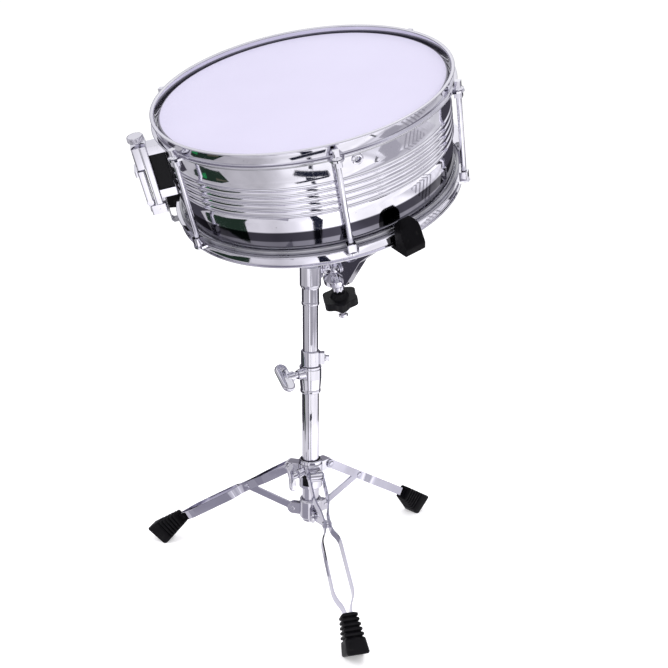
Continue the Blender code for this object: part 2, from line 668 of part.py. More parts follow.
def build_snares(drum):
    """Snare wires, their straps, the butt plate and the strainer; x points to the strainer."""
    side = frame("strainer_side", rotation=(0, 0, STRAINER_ANGLE), parent=drum)

    butt = join(box((-0.1895, -0.1772), (-0.013, 0.013), (-0.0500, -0.0320)),
                box((-0.1925, -0.1880), (-0.010, 0.010), (-0.0460, -0.0360)))
    place("butt_plate", butt, "chrome", side)

    wires_pivot = frame("snare_wires_pivot", (-0.1900, 0, SNARE_Z), parent=side)
    back = shift(0.1900, 0, -SNARE_Z)
    half = SNARE_HALF_LENGTH
    width = SNARE_PITCH * SNARE_STRANDS / 2
    plates = [box((-half - 0.006, -half + 0.008), (-width, width), (SNARE_Z - 0.0008, SNARE_Z + 0.0008)),
              box((half - 0.008, half + 0.006), (-width, width), (SNARE_Z - 0.0008, SNARE_Z + 0.0008))]
    strands = []
    for strand in range(SNARE_STRANDS):
        middle = SNARE_PITCH * (strand - (SNARE_STRANDS - 1) / 2)
        strands.append(box((-half, half), (middle - 0.0008, middle + 0.0008),
                           (SNARE_Z - 0.0011, SNARE_Z + 0.0011)))
    place("snare_wires", moved(join(plates[0], plates[1], *strands), back), "steel", wires_pivot)

    thin = 0.0004
    butt_strap = [(-half - 0.0065, SNARE_Z - thin), (-half - 0.0065, SNARE_Z + thin),
                  (-0.1896, SNARE_Z + thin), (-0.1896, -0.0505), (-0.1904, -0.0505),
                  (-0.1904, SNARE_Z - thin)]
    strap = stand_upright(prism(butt_strap, -STRAP_HALF_WIDTH, STRAP_HALF_WIDTH))
    place("butt_strap", moved(strap, back), "strap", wires_pivot)

    body = join(box((0.1985, 0.2065), (-0.014, 0.014), (-0.0340, 0.0440)),
                box((0.2055, 0.2170), (-0.012, 0.012), (0.0150, 0.0430)),
                box((0.1772, 0.2000), (-0.010, 0.010), (0.0300, 0.0410)),
                box((0.1772, 0.2000), (-0.010, 0.010), (-0.0285, -0.0175)))
    place("strainer_body", body, "chrome", side)

    spacer = box((0.1790, 0.1982), (-0.0085, 0.0085), (-0.0172, 0.0297))
    place("strainer_spacer", spacer, "nylon", side)

    lever_pivot = frame("strainer_lever_pivot", (0.2135, 0, -0.0300), parent=side)
    lever = join(box((-0.0040, 0.0040), (-0.0125, 0.0125), (0.0, 0.0430)),
                 moved(cylinder(0.0045, -0.0125, 0.0125), turn(pi / 2, "X")),
                 box((0.0030, 0.0075), (-0.0110, 0.0110), (0.0365, 0.0445)))
    place("strainer_lever", lever, "chrome", lever_pivot)

    knob_axis = frame("strainer_knob_axis", (0.2085, 0, 0.0445), parent=side)
    tension_knob = lathe([(0, 0), (0.0040, 0), (0.0040, 0.0022), (0.0095, 0.0030),
                          (0.0102, 0.0050), (0.0102, 0.0090), (0.0090, 0.0105), (0, 0.0105)], 16)
    place("strainer_knob", tension_knob, "chrome", knob_axis)

    slider_frame = frame("strainer_slider_slide", (0.2000, 0, -0.0420), parent=side)
    slider_back = shift(-0.2000, 0, 0.0420)
    slider = join(box((0.1955, 0.2150), (-0.0120, 0.0120), (-0.0480, -0.0355)),
                  box((0.2145, 0.2170), (-0.0040, 0.0040), (-0.0460, -0.0380)))
    place("strainer_slider", moved(slider, slider_back), "chrome", slider_frame)
    strainer_strap = [(half + 0.0065, SNARE_Z - thin), (0.1924, SNARE_Z - thin),
                      (0.1952, SNARE_Z + 0.0030), (0.1952, -0.0390), (0.1944, -0.0390),
                      (0.1944, SNARE_Z + 0.0033), (0.1918, SNARE_Z + thin),
                      (half + 0.0065, SNARE_Z + thin)]
    strap = stand_upright(prism(strainer_strap, -STRAP_HALF_WIDTH, STRAP_HALF_WIDTH))
    place("strainer_strap", moved(strap, slider_back), "strap", slider_frame)


def build():
    clear_scene()
    stand = frame("stand_axis", (TUBE_X, TUBE_Y, -SOLE_DEPTH))
    build_base(stand)
    carrier = build_leg_collar(stand)
    for number, azimuth in enumerate(LEG_AZIMUTHS, 1):
        build_leg(number, azimuth, carrier)
        build_strut(number, azimuth, stand)
    build_wing_bolt("leg_wing_bolt", carrier, LEG_BOLT_AZIMUTH, 0, 0.0243,
                    wing_bolt(0.0070, 0.0032, 0.040, 0.011), radians(-78))
    build_wing_bolt("height_wing_bolt", stand, HEIGHT_BOLT_AZIMUTH, HEIGHT_BOLT_Z, 0.0228,
                    wing_bolt(0.0135, 0.0036, 0.038, 0.015), radians(-45))
    mast = build_mast(stand)
    basket = build_tilter(mast)
    build_basket(basket)
    drum = build_drum(basket)
    build_snares(drum)


build()
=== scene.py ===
"""Looks of the snare drum on its folding tripod stand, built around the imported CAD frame.

Metres, +Z up.  Each detailed piece is made in the place of the CAD node it replaces and rides on
that node's body.  The stand's pieces and the basket's arms are made in the stand's frame (its
tube along Z), the drum's and the rest of the basket in the drum's frame (its own axis along Z).
"""

import json
from math import cos, pi, radians, sin

import bmesh
import bpy
from mathutils import Matrix, Vector


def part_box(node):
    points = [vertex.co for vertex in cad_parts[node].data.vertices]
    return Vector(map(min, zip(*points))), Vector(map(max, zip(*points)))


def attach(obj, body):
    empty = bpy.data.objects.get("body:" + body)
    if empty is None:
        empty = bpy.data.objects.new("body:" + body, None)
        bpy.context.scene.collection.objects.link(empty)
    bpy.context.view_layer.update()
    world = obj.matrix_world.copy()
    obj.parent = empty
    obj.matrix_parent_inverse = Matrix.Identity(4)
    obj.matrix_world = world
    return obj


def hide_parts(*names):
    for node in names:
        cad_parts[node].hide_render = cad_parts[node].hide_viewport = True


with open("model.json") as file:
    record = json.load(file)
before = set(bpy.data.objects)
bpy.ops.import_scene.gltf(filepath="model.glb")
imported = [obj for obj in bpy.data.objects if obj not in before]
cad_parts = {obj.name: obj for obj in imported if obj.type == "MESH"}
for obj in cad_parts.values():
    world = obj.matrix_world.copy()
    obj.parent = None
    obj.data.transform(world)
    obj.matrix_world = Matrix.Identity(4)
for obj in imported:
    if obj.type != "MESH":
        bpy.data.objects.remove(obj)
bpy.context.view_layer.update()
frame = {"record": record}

# ---------------------------------------------------------------- driving dimensions

GAP = 0.0003
LOWER_TUBE_R = 0.01165
LOWER_TUBE_BORE_R = 0.0108
LOWER_TUBE_Z = (0.070, 0.2905)
UPPER_TUBE_R = 0.01045
UPPER_TUBE_BORE_R = 0.0092
UPPER_TUBE_Z = (0.130, 0.4200)

LEG_AZIMUTHS = [radians(186.96 + 120 * i) for i in range(3)]
LEG_PIVOT = (0.030, 0.148)
STRUT_PIVOT = (0.025, 0.085)
LEG_SLOPE = radians(31.5)
LEG_TO_STRUT_JOINT = 0.0752
STRUT_SLOPE = radians(18.9)
STRUT_LENGTH = 0.0731
STRIP_THICKNESS = 0.002
STRIP_HEIGHT = 0.012
STRUT_THICKNESS = 0.003
STRUT_HEIGHT = 0.010
FOOT_START = 0.200
FOOT_DROOP = radians(9.5)
FOOT_LENGTH = 0.0485
FOOT_RIBS = 5
FOOT_SHEAR = 0.2

LEG_BOLT_Z = 0.1455
LEG_BOLT_AZIMUTH = radians(246.96)
COLLAR_WINDOW_AZIMUTH = radians(273)
HEIGHT_BOLT_Z = 0.2885
HEIGHT_BOLT_AZIMUTH = radians(242)
MEMORY_BOLT_Z = 0.3085
MEMORY_BOLT_AZIMUTH = radians(22)

TILT = radians(24.6)
TILT_HINGE_Y = 0.040
TILT_HINGE_Z = 0.428
TILT_DISC_R = 0.0115
TILT_LUG_HALF_WIDTH = 0.005
TILT_CHEEK_WIDTH = 0.0045
DRUM_CENTRE_Z = 0.5986

SHELL_R = 0.1765
SHELL_WALL = 0.0014
SHELL_HALF_DEPTH = 0.0640
BEAD_RISE = 0.0020
BEAD_HALF_HEIGHT = 0.0027
BEAD_PITCH = 0.0084
BEAD_COUNT = 5
BEAD_MIDDLE_Z = 0.0080
HEAD_Z = SHELL_HALF_DEPTH + 0.0007
FILM_THICKNESS = 0.0004
COATING_R = 0.1746
HOOP_RIM_Z = 0.0725
HOOP_FLANGE_Z = (0.0565, 0.0585)
HOOP_FLANGE_R = 0.1870
ROD_CIRCLE_R = 0.1915
ROD_R = 0.00325
ROD_HOLE_R = 0.0037
ROD_ANGLES = [radians(3.4 + 60 * i) for i in range(6)]
STRAINER_ANGLE = radians(213.4)
BUTT_ANGLE = STRAINER_ANGLE - pi
VENT_ANGLE = radians(-48.6)
VENT_Z = 0.0445

ARM_ANGLES = [radians(-36.3), radians(78.7), radians(193.7)]
ARM_PIVOT = (0.024, -0.186)
ARM_HALF_WIDTH = 0.0055
CLAW_HALF_WIDTH = 0.0135
CLAW_ARCH_Z = -0.0515
CLAW_ARCH_RISE = 0.0142
HUB_R = 0.015
HUB_Z = (-0.200, -0.172)
STUD_R = 0.004
KNOB_Z = (-0.261, -0.249)

SNARE_Z = -0.0662
SNARE_HALF_LENGTH = 0.135
SNARE_STRANDS = 16
SNARE_PITCH = 0.0026
STRAP_HALF_WIDTH = 0.0075
STRAP_HALF_THICKNESS = 0.0004

CAMERA_PLACE = (0.45106, -1.01627, 0.64981)
CAMERA_AZIMUTH = radians(112.312)
CAMERA_DIP = radians(15.498)
CAMERA_ROLL = radians(0.384)
CAMERA_LENS = 46.56


# ---------------------------------------------------------------- shape tools

# Turns a flat (y, z) outline drawn as (x, y) to face along X
FACING_X = Matrix(((0, 0, 1, 0), (1, 0, 0, 0), (0, 1, 0, 0), (0, 0, 0, 1)))


def turn(angle, axis):
    return Matrix.Rotation(angle, 4, axis)


def shift(x, y, z):
    return Matrix.Translation((x, y, z))


def moved(shape, *matrices):
    """Move a shape by each matrix in turn."""
    for matrix in matrices:
        shape.transform(matrix)
    return shape


def clean(shape):
    """Merge double points and turn every face outwards."""
    bmesh.ops.remove_doubles(shape, verts=shape.verts, dist=0.000004)
    bmesh.ops.recalc_face_normals(shape, faces=shape.faces)
    return shape


def rounded(points, radius, steps=4, ring=True):
    """Ease each corner of an outline; an open outline keeps its two ends."""
    points = [Vector(point) for point in points]
    count = len(points)
    eased = []
    for index, corner in enumerate(points):
        if not ring and index in (0, count - 1):
            eased.append(tuple(corner))
            continue
        before = points[index - 1] - corner
        after = points[(index + 1) % count] - corner
        start = corner + before.normalized() * min(radius, before.length * 0.48)
        end = corner + after.normalized() * min(radius, after.length * 0.48)
        for step in range(steps + 1):
            share = step / steps
            point = start.lerp(corner, share).lerp(corner.lerp(end, share), share)
            eased.append(tuple(point))
    return eased


def lathe(profile, segments=96):
    """Turn a (radius, height) outline about Z; it may start and end on the axis."""
    shape = bmesh.new()
    points = [shape.verts.new((radius, 0.0, height)) for radius, height in profile]
    edges = [shape.edges.new(pair) for pair in zip(points, points[1:])]
    if profile[0][0] > 0 or profile[-1][0] > 0:
        edges.append(shape.edges.new((points[-1], points[0])))
    bmesh.ops.spin(shape, geom=points + edges, cent=(0, 0, 0), axis=(0, 0, 1),
                   angle=2 * pi, steps=segments)
    return clean(shape)


def turned(profile, radius=0.0006, segments=96):
    """Lathe an outline with eased corners."""
    on_axis = profile[0][0] == 0.0 and profile[-1][0] == 0.0
    return lathe(rounded(profile, radius, ring=not on_axis), segments)


def tube(inner, outer, low, high, radius=0.0004, segments=96):
    return turned([(inner, low), (outer, low), (outer, high), (inner, high)], radius, segments)


def rod(radius, low, high, ease=0.0006, segments=40):
    return turned([(0, low), (radius, low), (radius, high), (0, high)], ease, segments)


def prism(outline, low, high):
    """Extrude a flat (x, y) outline along Z from low to high."""
    shape = bmesh.new()
    base = shape.faces.new([shape.verts.new((x, y, low)) for x, y in outline])
    grown = bmesh.ops.extrude_face_region(shape, geom=[base])["geom"]
    top = [item for item in grown if isinstance(item, bmesh.types.BMVert)]
    bmesh.ops.translate(shape, verts=top, vec=(0, 0, high - low))
    return clean(shape)


def block(x_span, y_span, z_span, radius=0.0012):
    """A box whose upright edges are eased."""
    (x0, x1), (y0, y1) = x_span, y_span
    return prism(rounded([(x0, y0), (x1, y0), (x1, y1), (x0, y1)], radius), *z_span)


def upright(shape):
    """Turn a flat (x, y) shape so that its y points along Z and its thickness along Y."""
    return moved(shape, turn(pi / 2, "X"))


def along_x(shape):
    return moved(shape, turn(pi / 2, "Y"))


def capsule(length, width, segments=14, waist=0.0):
    """Outline with round ends along Y, centred on the origin, drawn in by waist at its middle."""
    reach = length / 2 - width / 2
    points = []
    for end in (0, 1):
        side = 1 - 2 * end
        for step in range(segments + 1):
            angle = pi * end + pi * step / segments
            points.append((width / 2 * cos(angle), side * reach + width / 2 * sin(angle)))
        if waist:
            for share in (0.5, 0.25, 0.0, -0.25, -0.5):
                points.append((-side * (width / 2 - waist * (1 - abs(share) * 1.3)),
                               side * share * reach))
    return points


def loft(sections):
    """Skin equal rings of points and close both ends."""
    shape = bmesh.new()
    rings = [[shape.verts.new(point) for point in section] for section in sections]
    count = len(rings[0])
    for near, far in zip(rings, rings[1:]):
        for i in range(count):
            shape.faces.new((near[i], near[(i + 1) % count], far[(i + 1) % count], far[i]))
    shape.faces.new(rings[0])
    shape.faces.new(rings[-1])
    return clean(shape)


def as_object(shape, name):
    mesh = bpy.data.meshes.new(name)
    shape.to_mesh(mesh)
    shape.free()
    made = bpy.data.objects.new(name, mesh)
    bpy.context.scene.collection.objects.link(made)
    return made


def combine(base, tools, operation):
    """Join or cut a closed shape with other closed shapes, and return the one that results."""
    target = as_object(base, "target")
    helpers = []
    for index, tool in enumerate(tools):
        helper = as_object(tool, f"helper_{index}")
        helpers.append(helper)
        modifier = target.modifiers.new(f"combine_{index}", "BOOLEAN")
        modifier.operation = operation
        modifier.solver = "EXACT"
        modifier.object = helper
    bpy.context.view_layer.update()
    evaluated = target.evaluated_get(bpy.context.evaluated_depsgraph_get())
    result = bmesh.new()
    result.from_mesh(evaluated.to_mesh())
    for item in [target] + helpers:
        bpy.data.objects.remove(item, do_unlink=True)
    bmesh.ops.remove_doubles(result, verts=result.verts, dist=0.00001)
    bmesh.ops.dissolve_degenerate(result, edges=result.edges, dist=0.00001)
    return result


def join(base, *tools):
    return combine(base, tools, "UNION")


def cut(base, *tools):
    return combine(base, tools, "DIFFERENCE")


# ---------------------------------------------------------------- materials

class Graph:
    """A node material whose patterns lie in the piece's own coordinates."""

    def __init__(self, name):
        self.material = bpy.data.materials.new(name)
        self.material.use_nodes = True
        self.tree = self.material.node_tree
        self.surface = self.tree.nodes["Principled BSDF"]
        self.place = self.node("ShaderNodeTexCoord").outputs["Object"]

    def node(self, kind, links=(), **settings):
        made = self.tree.nodes.new(kind)
        for key, value in settings.items():
            setattr(made, key, value)
        for key, value in dict(links).items():
            self.feed(made.inputs[key], value)
        return made

    def feed(self, socket, value):
        if isinstance(value, bpy.types.NodeSocket):
            self.tree.links.new(value, socket)
        else:
            socket.default_value = value

    def set(self, **inputs):
        for key, value in inputs.items():
            self.feed(self.surface.inputs[key.replace("_", " ")], value)

    def noise(self, scale, detail=3.0, stretch=(1, 1, 1)):
        spot = self.node("ShaderNodeMapping", {"Vector": self.place, "Scale": stretch})
        made = self.node("ShaderNodeTexNoise", {"Vector": spot.outputs[0], "Scale": scale,
                                                "Detail": detail})
        return made.outputs["Fac"]

    def ramp(self, factor, *stops):
        made = self.node("ShaderNodeValToRGB", {"Fac": factor})
        elements = made.color_ramp.elements
        while len(elements) < len(stops):
            elements.new(0.5)
        for element, (position, colour) in zip(elements, stops):
            element.position = position
            element.color = (*colour, 1.0) if isinstance(colour, tuple) else (colour,) * 3 + (1.0,)
        return made.outputs["Color"]

    def spread(self, factor, low, high, start=0.3, end=0.7):
        made = self.node("ShaderNodeMapRange", {"Value": factor, "From Min": start,
                                                "From Max": end, "To Min": low, "To Max": high})
        return made.outputs["Result"]

    def math(self, operation, a, b=0.0):
        made = self.node("ShaderNodeMath", operation=operation)
        self.feed(made.inputs[0], a)
        self.feed(made.inputs[1], b)
        return made.outputs[0]

    def mix(self, factor, a, b, kind="MIX"):
        made = self.node("ShaderNodeMix", data_type="RGBA", blend_type=kind)
        self.feed(made.inputs["Factor"], factor)
        self.feed(made.inputs["A"], (*a, 1.0) if isinstance(a, tuple) else a)
        self.feed(made.inputs["B"], (*b, 1.0) if isinstance(b, tuple) else b)
        return made.outputs["Result"]

    def bump(self, height, strength, distance=0.001, under=None):
        links = {"Height": height, "Strength": strength, "Distance": distance}
        if under is not None:
            links["Normal"] = under
        return self.node("ShaderNodeBump", links).outputs["Normal"]

    def edge_wear(self, low=0.53, high=0.60):
        sharp = self.node("ShaderNodeNewGeometry").outputs["Pointiness"]
        return self.spread(sharp, 0.0, 1.0, low, high)

    def axis(self, letter):
        return self.node("ShaderNodeSeparateXYZ", {"Vector": self.place}).outputs[letter]


def chrome(name, light=(0.82, 0.81, 0.87), dark=(0.70, 0.69, 0.75), wave=0.0, band=False):
    """Chrome plate: smudges, hairline scratches, tiny pits and brighter worn edges; for the shell, also a
    painted reflection band in the base colour.
    """
    graph = Graph(name)
    smudge = graph.noise(16, 5)
    colour = graph.mix(graph.spread(smudge, 0.0, 1.0), dark, light)
    pits = graph.spread(graph.noise(420, 2), 0.0, 0.5, 0.70, 0.78)
    colour = graph.mix(pits, colour, (0.25, 0.24, 0.26))
    colour = graph.mix(graph.math("MULTIPLY", graph.edge_wear(), 0.35), colour, (0.92, 0.92, 0.95))
    # Painted reflection: darkens the shell's base colour in a band above the lower hoop.
    if band:
        colour = painted_reflection_band(graph, colour)
    film = graph.spread(graph.noise(34, 6), 0.025, 0.085)
    scratch = graph.spread(graph.noise(900, 2, (1, 1, 0.04)), 0.0, 0.05, 0.60, 0.72)
    graph.set(Base_Color=colour, Metallic=1.0, Roughness=graph.math("ADD", film, scratch))
    normal = graph.bump(graph.noise(260, 4), 0.02, 0.0004)
    if wave:
        normal = graph.bump(graph.noise(11, 1, (1, 1, 1.6)), wave, 0.01, normal)
    graph.set(Normal=normal)
    return graph.material


def painted_reflection_band(graph, colour):
    """Painted reflection: the shell's base colour is darkened in a band above its lower hoop, and darker
    still in the band's upper part.
    """
    height = graph.math("ADD", graph.axis("Z"), 0.1)
    # Painted reflection mask: the band from 50 mm to 29 mm below the shell's middle.
    painted_reflection_mask = graph.spread(height, 1.0, 0.0, 0.0695, 0.0712)
    painted_reflection_mask = graph.math("MULTIPLY", painted_reflection_mask, graph.spread(height, 0.0, 1.0, 0.0500, 0.0512))
    # Its upper part, from 42 mm below the middle upwards, is painted darker still.
    painted_reflection_core = graph.spread(height, 0.0, 1.0, 0.0580, 0.0592)
    painted_reflection_core = graph.math("MULTIPLY", painted_reflection_core, painted_reflection_mask)
    colour = graph.mix(graph.math("MULTIPLY", painted_reflection_mask, 0.86), colour, (0.10, 0.095, 0.125))
    return graph.mix(graph.math("MULTIPLY", painted_reflection_core, 0.92), colour, (0.030, 0.028, 0.040))


def zinc_steel(name):
    """Plain plated steel: brushed grain and a dull, mottled roughness."""
    graph = Graph(name)
    cloud = graph.noise(40, 5)
    colour = graph.ramp(cloud, (0.3, (0.40, 0.40, 0.42)), (0.7, (0.58, 0.58, 0.61)))
    grain = graph.noise(700, 3, (0.05, 1, 1))
    graph.set(Base_Color=colour, Metallic=1.0, Roughness=graph.spread(cloud, 0.22, 0.42))
    graph.set(Normal=graph.bump(grain, 0.12, 0.0003))
    return graph.material


def black_rubber(name):
    """Moulded black rubber: fine grain, greyer scuffed edges, dust in patches."""
    graph = Graph(name)
    cloud = graph.noise(60, 6)
    colour = graph.ramp(cloud, (0.25, (0.0014, 0.0013, 0.0018)), (0.75, (0.0038, 0.0036, 0.0048)))
    colour = graph.mix(graph.math("MULTIPLY", graph.edge_wear(), 0.3), colour,
                       (0.035, 0.034, 0.038))
    dust = graph.spread(graph.noise(180, 4), 0.0, 0.04, 0.60, 0.74)
    colour = graph.mix(dust, colour, (0.22, 0.21, 0.20))
    graph.set(Base_Color=colour, Roughness=graph.spread(cloud, 0.40, 0.60),
              Specular_IOR_Level=0.07)
    graph.set(Normal=graph.bump(graph.noise(1400, 3), 0.25, 0.0003))
    return graph.material


def black_nylon(name):
    """Satin moulded plastic with a faint flow pattern and rubbed edges."""
    graph = Graph(name)
    flow = graph.noise(45, 4, (1, 1, 0.4))
    colour = graph.ramp(flow, (0.3, (0.0030, 0.0030, 0.0038)), (0.7, (0.007, 0.007, 0.0085)))
    colour = graph.mix(graph.math("MULTIPLY", graph.edge_wear(), 0.3), colour,
                       (0.05, 0.05, 0.055))
    graph.set(Base_Color=colour, Roughness=graph.spread(flow, 0.24, 0.40),
              Specular_IOR_Level=0.16)
    graph.set(Normal=graph.bump(graph.noise(1900, 2), 0.15, 0.0002))
    return graph.material


def from_axis(graph):
    """Distance from the piece's own Z axis."""
    flat = graph.node("ShaderNodeVectorMath", {0: graph.place, 1: (1, 1, 0)},
                      operation="MULTIPLY")
    return graph.node("ShaderNodeVectorMath", {0: flat.outputs[0]},
                      operation="LENGTH").outputs["Value"]


def coated_film(name):
    """White sprayed coating with a stippled grain, stick marks and a clear edge."""
    graph = Graph(name)
    reach = from_axis(graph)
    cloud = graph.noise(9, 4)
    colour = graph.mix(graph.spread(cloud, 0.0, 1.0), (0.545, 0.520, 0.660), (0.575, 0.552, 0.688))
    marks = graph.spread(graph.noise(70, 5, (1, 0.45, 1)), 0.0, 0.10, 0.62, 0.75)
    worn = graph.math("MULTIPLY", marks, graph.spread(reach, 1.0, 0.0, 0.03, 0.11))
    colour = graph.mix(worn, colour, (0.45, 0.44, 0.50))
    clear = graph.spread(reach, 0.0, 1.0, COATING_R - 0.0003, COATING_R + 0.0003)
    colour = graph.mix(clear, colour, (0.17, 0.165, 0.20))
    stipple = graph.noise(1500, 2)
    rough = graph.math("SUBTRACT", graph.spread(cloud, 0.40, 0.52),
                       graph.math("MULTIPLY", clear, 0.30))
    graph.set(Base_Color=colour, Roughness=rough, Specular_IOR_Level=0.5)
    graph.set(Normal=graph.bump(stipple, 0.10, 0.0003))
    return graph.material


def clear_film(name):
    """Thin hazy film that shows what is behind it."""
    graph = Graph(name)
    cloud = graph.noise(12, 4)
    colour = graph.mix(graph.spread(cloud, 0.0, 1.0), (0.74, 0.75, 0.80), (0.82, 0.83, 0.88))
    graph.set(Base_Color=colour, Roughness=graph.spread(cloud, 0.14, 0.26),
              Transmission_Weight=0.55, IOR=1.15, Alpha=0.72)
    graph.set(Normal=graph.bump(graph.noise(90, 3), 0.03, 0.0006))
    return graph.material


def clear_strap(name):
    graph = Graph(name)
    cloud = graph.noise(120, 4)
    colour = graph.mix(graph.spread(cloud, 0.0, 1.0), (0.50, 0.50, 0.55), (0.68, 0.68, 0.73))
    graph.set(Base_Color=colour, Roughness=graph.spread(cloud, 0.18, 0.34),
              Transmission_Weight=0.35, IOR=1.3)
    graph.set(Normal=graph.bump(graph.noise(600, 2, (1, 0.1, 1)), 0.1, 0.0003))
    return graph.material


FINISH = {
    "chrome": chrome("chrome_plate"),
    # The shell's chrome carries the painted reflection band.
    "shell_chrome": chrome("chrome_shell", (0.86, 0.85, 0.91), (0.76, 0.75, 0.81), 0.05, True),
    "hoop_chrome": chrome("chrome_hoop", (0.78, 0.77, 0.83), (0.68, 0.67, 0.73), 0.02),
    "strip_chrome": chrome("chrome_strip", (0.66, 0.65, 0.74), (0.55, 0.54, 0.62), 0.03),
    "steel": zinc_steel("zinc_steel"),
    "rubber": black_rubber("black_rubber"),
    "nylon": black_nylon("black_nylon"),
    "coated_film": coated_film("coated_film"),
    "clear_film": clear_film("clear_film"),
    "strap": clear_strap("clear_strap"),
}


# ---------------------------------------------------------------- placing pieces

BODY_OF = {node: body for body, nodes in frame["record"]["behaviour"]["bodies"].items()
           for node in nodes}
lower_low, lower_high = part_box("lower_tube")
STAND = shift((lower_low.x + lower_high.x) / 2, (lower_low.y + lower_high.y) / 2,
              lower_low.z - LOWER_TUBE_Z[0])
LEAN = shift(0, 0, DRUM_CENTRE_Z) @ turn(TILT, "X")
DRUM = STAND @ LEAN
STRAINER = turn(STRAINER_ANGLE, "Z")


def piece(node, shape, finish, home, local=None, bevel=0.0, segments=3, sharp=38):
    """Put a detailed piece in place of a CAD node; home is STAND or DRUM, local lies in it."""
    if local is not None:
        shape.transform(local)
    made = as_object(shape, f"{node}_look")
    made.matrix_world = home
    made.data.shade_smooth()
    made.data.materials.append(FINISH[finish])
    if bevel:
        edge = made.modifiers.new("eased_edges", "BEVEL")
        edge.width = bevel
        edge.segments = segments
        edge.limit_method = "ANGLE"
        edge.angle_limit = radians(sharp)
        edge.use_clamp_overlap = True
        weighted = made.modifiers.new("even_shading", "WEIGHTED_NORMAL")
        weighted.keep_sharp = True
    else:
        made.data.set_sharp_from_angle(angle=radians(sharp))
    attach(made, BODY_OF[node])
    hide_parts(node)
    return made


def radial(shape, azimuth, height):
    """Aim a shape built along +X outwards from the tube's axis at a height."""
    return moved(shape, turn(azimuth, "Z"), shift(0, 0, height))


# ---------------------------------------------------------------- stand

def lug_outline(start, pivot, half_height, steps=14):
    """Side view of a lug that runs outwards along x and ends round its pivot."""
    points = [(start, -half_height), (pivot, -half_height)]
    for step in range(1, steps):
        angle = -pi / 2 + pi * step / steps
        points.append((pivot + half_height * cos(angle), half_height * sin(angle)))
    points += [(pivot, half_height), (start, half_height)]
    return points


def rivet(radius, start, end, side):
    """A domed rivet head standing off a side face, along local Y."""
    profile = [(0, 0), (radius, 0), (radius, (end - start) * 0.45), (radius * 0.72, (end - start) * 0.85),
               (0, end - start)]
    head = turned(profile, 0.0005, 28)
    return moved(head, turn(-side * pi / 2, "X"), shift(0, side * start, 0))


def build_base():
    piece("lower_tube", tube(LOWER_TUBE_BORE_R, LOWER_TUBE_R, *LOWER_TUBE_Z), "chrome", STAND)

    sleeve = turned([(LOWER_TUBE_R + GAP, 0.0740), (0.0140, 0.0740), (0.0155, 0.0765),
                     (0.0155, 0.1000), (0.0145, 0.1030), (LOWER_TUBE_R + GAP, 0.1030)], 0.0008)
    lugs = []
    for azimuth in LEG_AZIMUTHS:
        for side in (-1, 1):
            span = sorted((side * 0.0018, side * 0.0048))
            outline = lug_outline(0.0130, STRUT_PIVOT[0], 0.0080)
            lug = moved(upright(prism(outline, *span)), shift(0, 0, STRUT_PIVOT[1]))
            lugs.append(moved(lug, turn(azimuth, "Z")))
            head = moved(rivet(0.0034, 0.0046, 0.0062, side),
                         shift(STRUT_PIVOT[0], 0, STRUT_PIVOT[1]))
            lugs.append(moved(head, turn(azimuth, "Z")))
    piece("strut_collar", join(sleeve, *lugs), "chrome", STAND, bevel=0.0005)

    outline = [(0.01195, 0.2600), (0.0134, 0.2600), (0.0140, 0.2615), (0.0140, 0.2640),
               (0.0136, 0.2655), (0.0148, 0.2780), (0.0150, 0.2800), (0.0150, 0.2935),
               (0.0143, 0.2945), (0.0150, 0.2955), (0.0150, 0.2975), (0.0120, 0.2975)]
    boss = along_x(turned([(0, 0.0125), (0.0074, 0.0125), (0.0074, 0.0190), (0.0062, 0.0205),
                           (0.0062, 0.0225), (0, 0.0225)], 0.0005, 40))
    radial(boss, HEIGHT_BOLT_AZIMUTH, HEIGHT_BOLT_Z)
    slot = radial(block((0.010, 0.020), (-0.0009, 0.0009), (0.2790, 0.2990), 0.0002),
                  HEIGHT_BOLT_AZIMUTH + pi, 0)
    piece("height_clamp", cut(join(turned(outline, 0.0004), boss), slot), "chrome", STAND, bevel=0.0004)
    piece("clamp_bush", tube(0.0108, 0.0117, 0.2908, 0.2978, 0.0002), "nylon", STAND)


def build_leg_collar():
    profile = [(0.0135, 0.1216), (0.0160, 0.1216), (0.0165, 0.1226), (0.0165, 0.1560),
               (0.0156, 0.1575), (0.0156, 0.1615), (0.0150, 0.1625), (0.0135, 0.1625)]
    sleeve = turned(profile, 0.0005)
    parts = []
    for azimuth in LEG_AZIMUTHS:
        lug = upright(prism(lug_outline(0.015, LEG_PIVOT[0], 0.0075), -0.0080, 0.0080))
        parts.append(radial(lug, azimuth, LEG_PIVOT[1]))
    boss = along_x(turned([(0, 0.0150), (0.0068, 0.0150), (0.0068, 0.0225), (0.0056, 0.0240),
                           (0, 0.0240)], 0.0005, 40))
    parts.append(radial(boss, LEG_BOLT_AZIMUTH, LEG_BOLT_Z))
    window = radial(block((0.010, 0.022), (-0.0055, 0.0055), (-0.0080, 0.0080), 0.001),
                    COLLAR_WINDOW_AZIMUTH, 0.1345)
    piece("leg_collar", cut(join(sleeve, *parts), window), "chrome", STAND, bevel=0.0006)
    piece("leg_collar_bush", tube(0.01195, 0.0132, 0.1216, 0.1600, 0.0003), "nylon", STAND)


STRIP_PATH = [(-0.006, 0.0095), (0.040, 0.0095), (0.062, 0.0036), (0.086, 0.0036),
              (0.098, 0.0118), (0.176, 0.0128), (0.194, 0.0036), (0.209, 0.0036)]


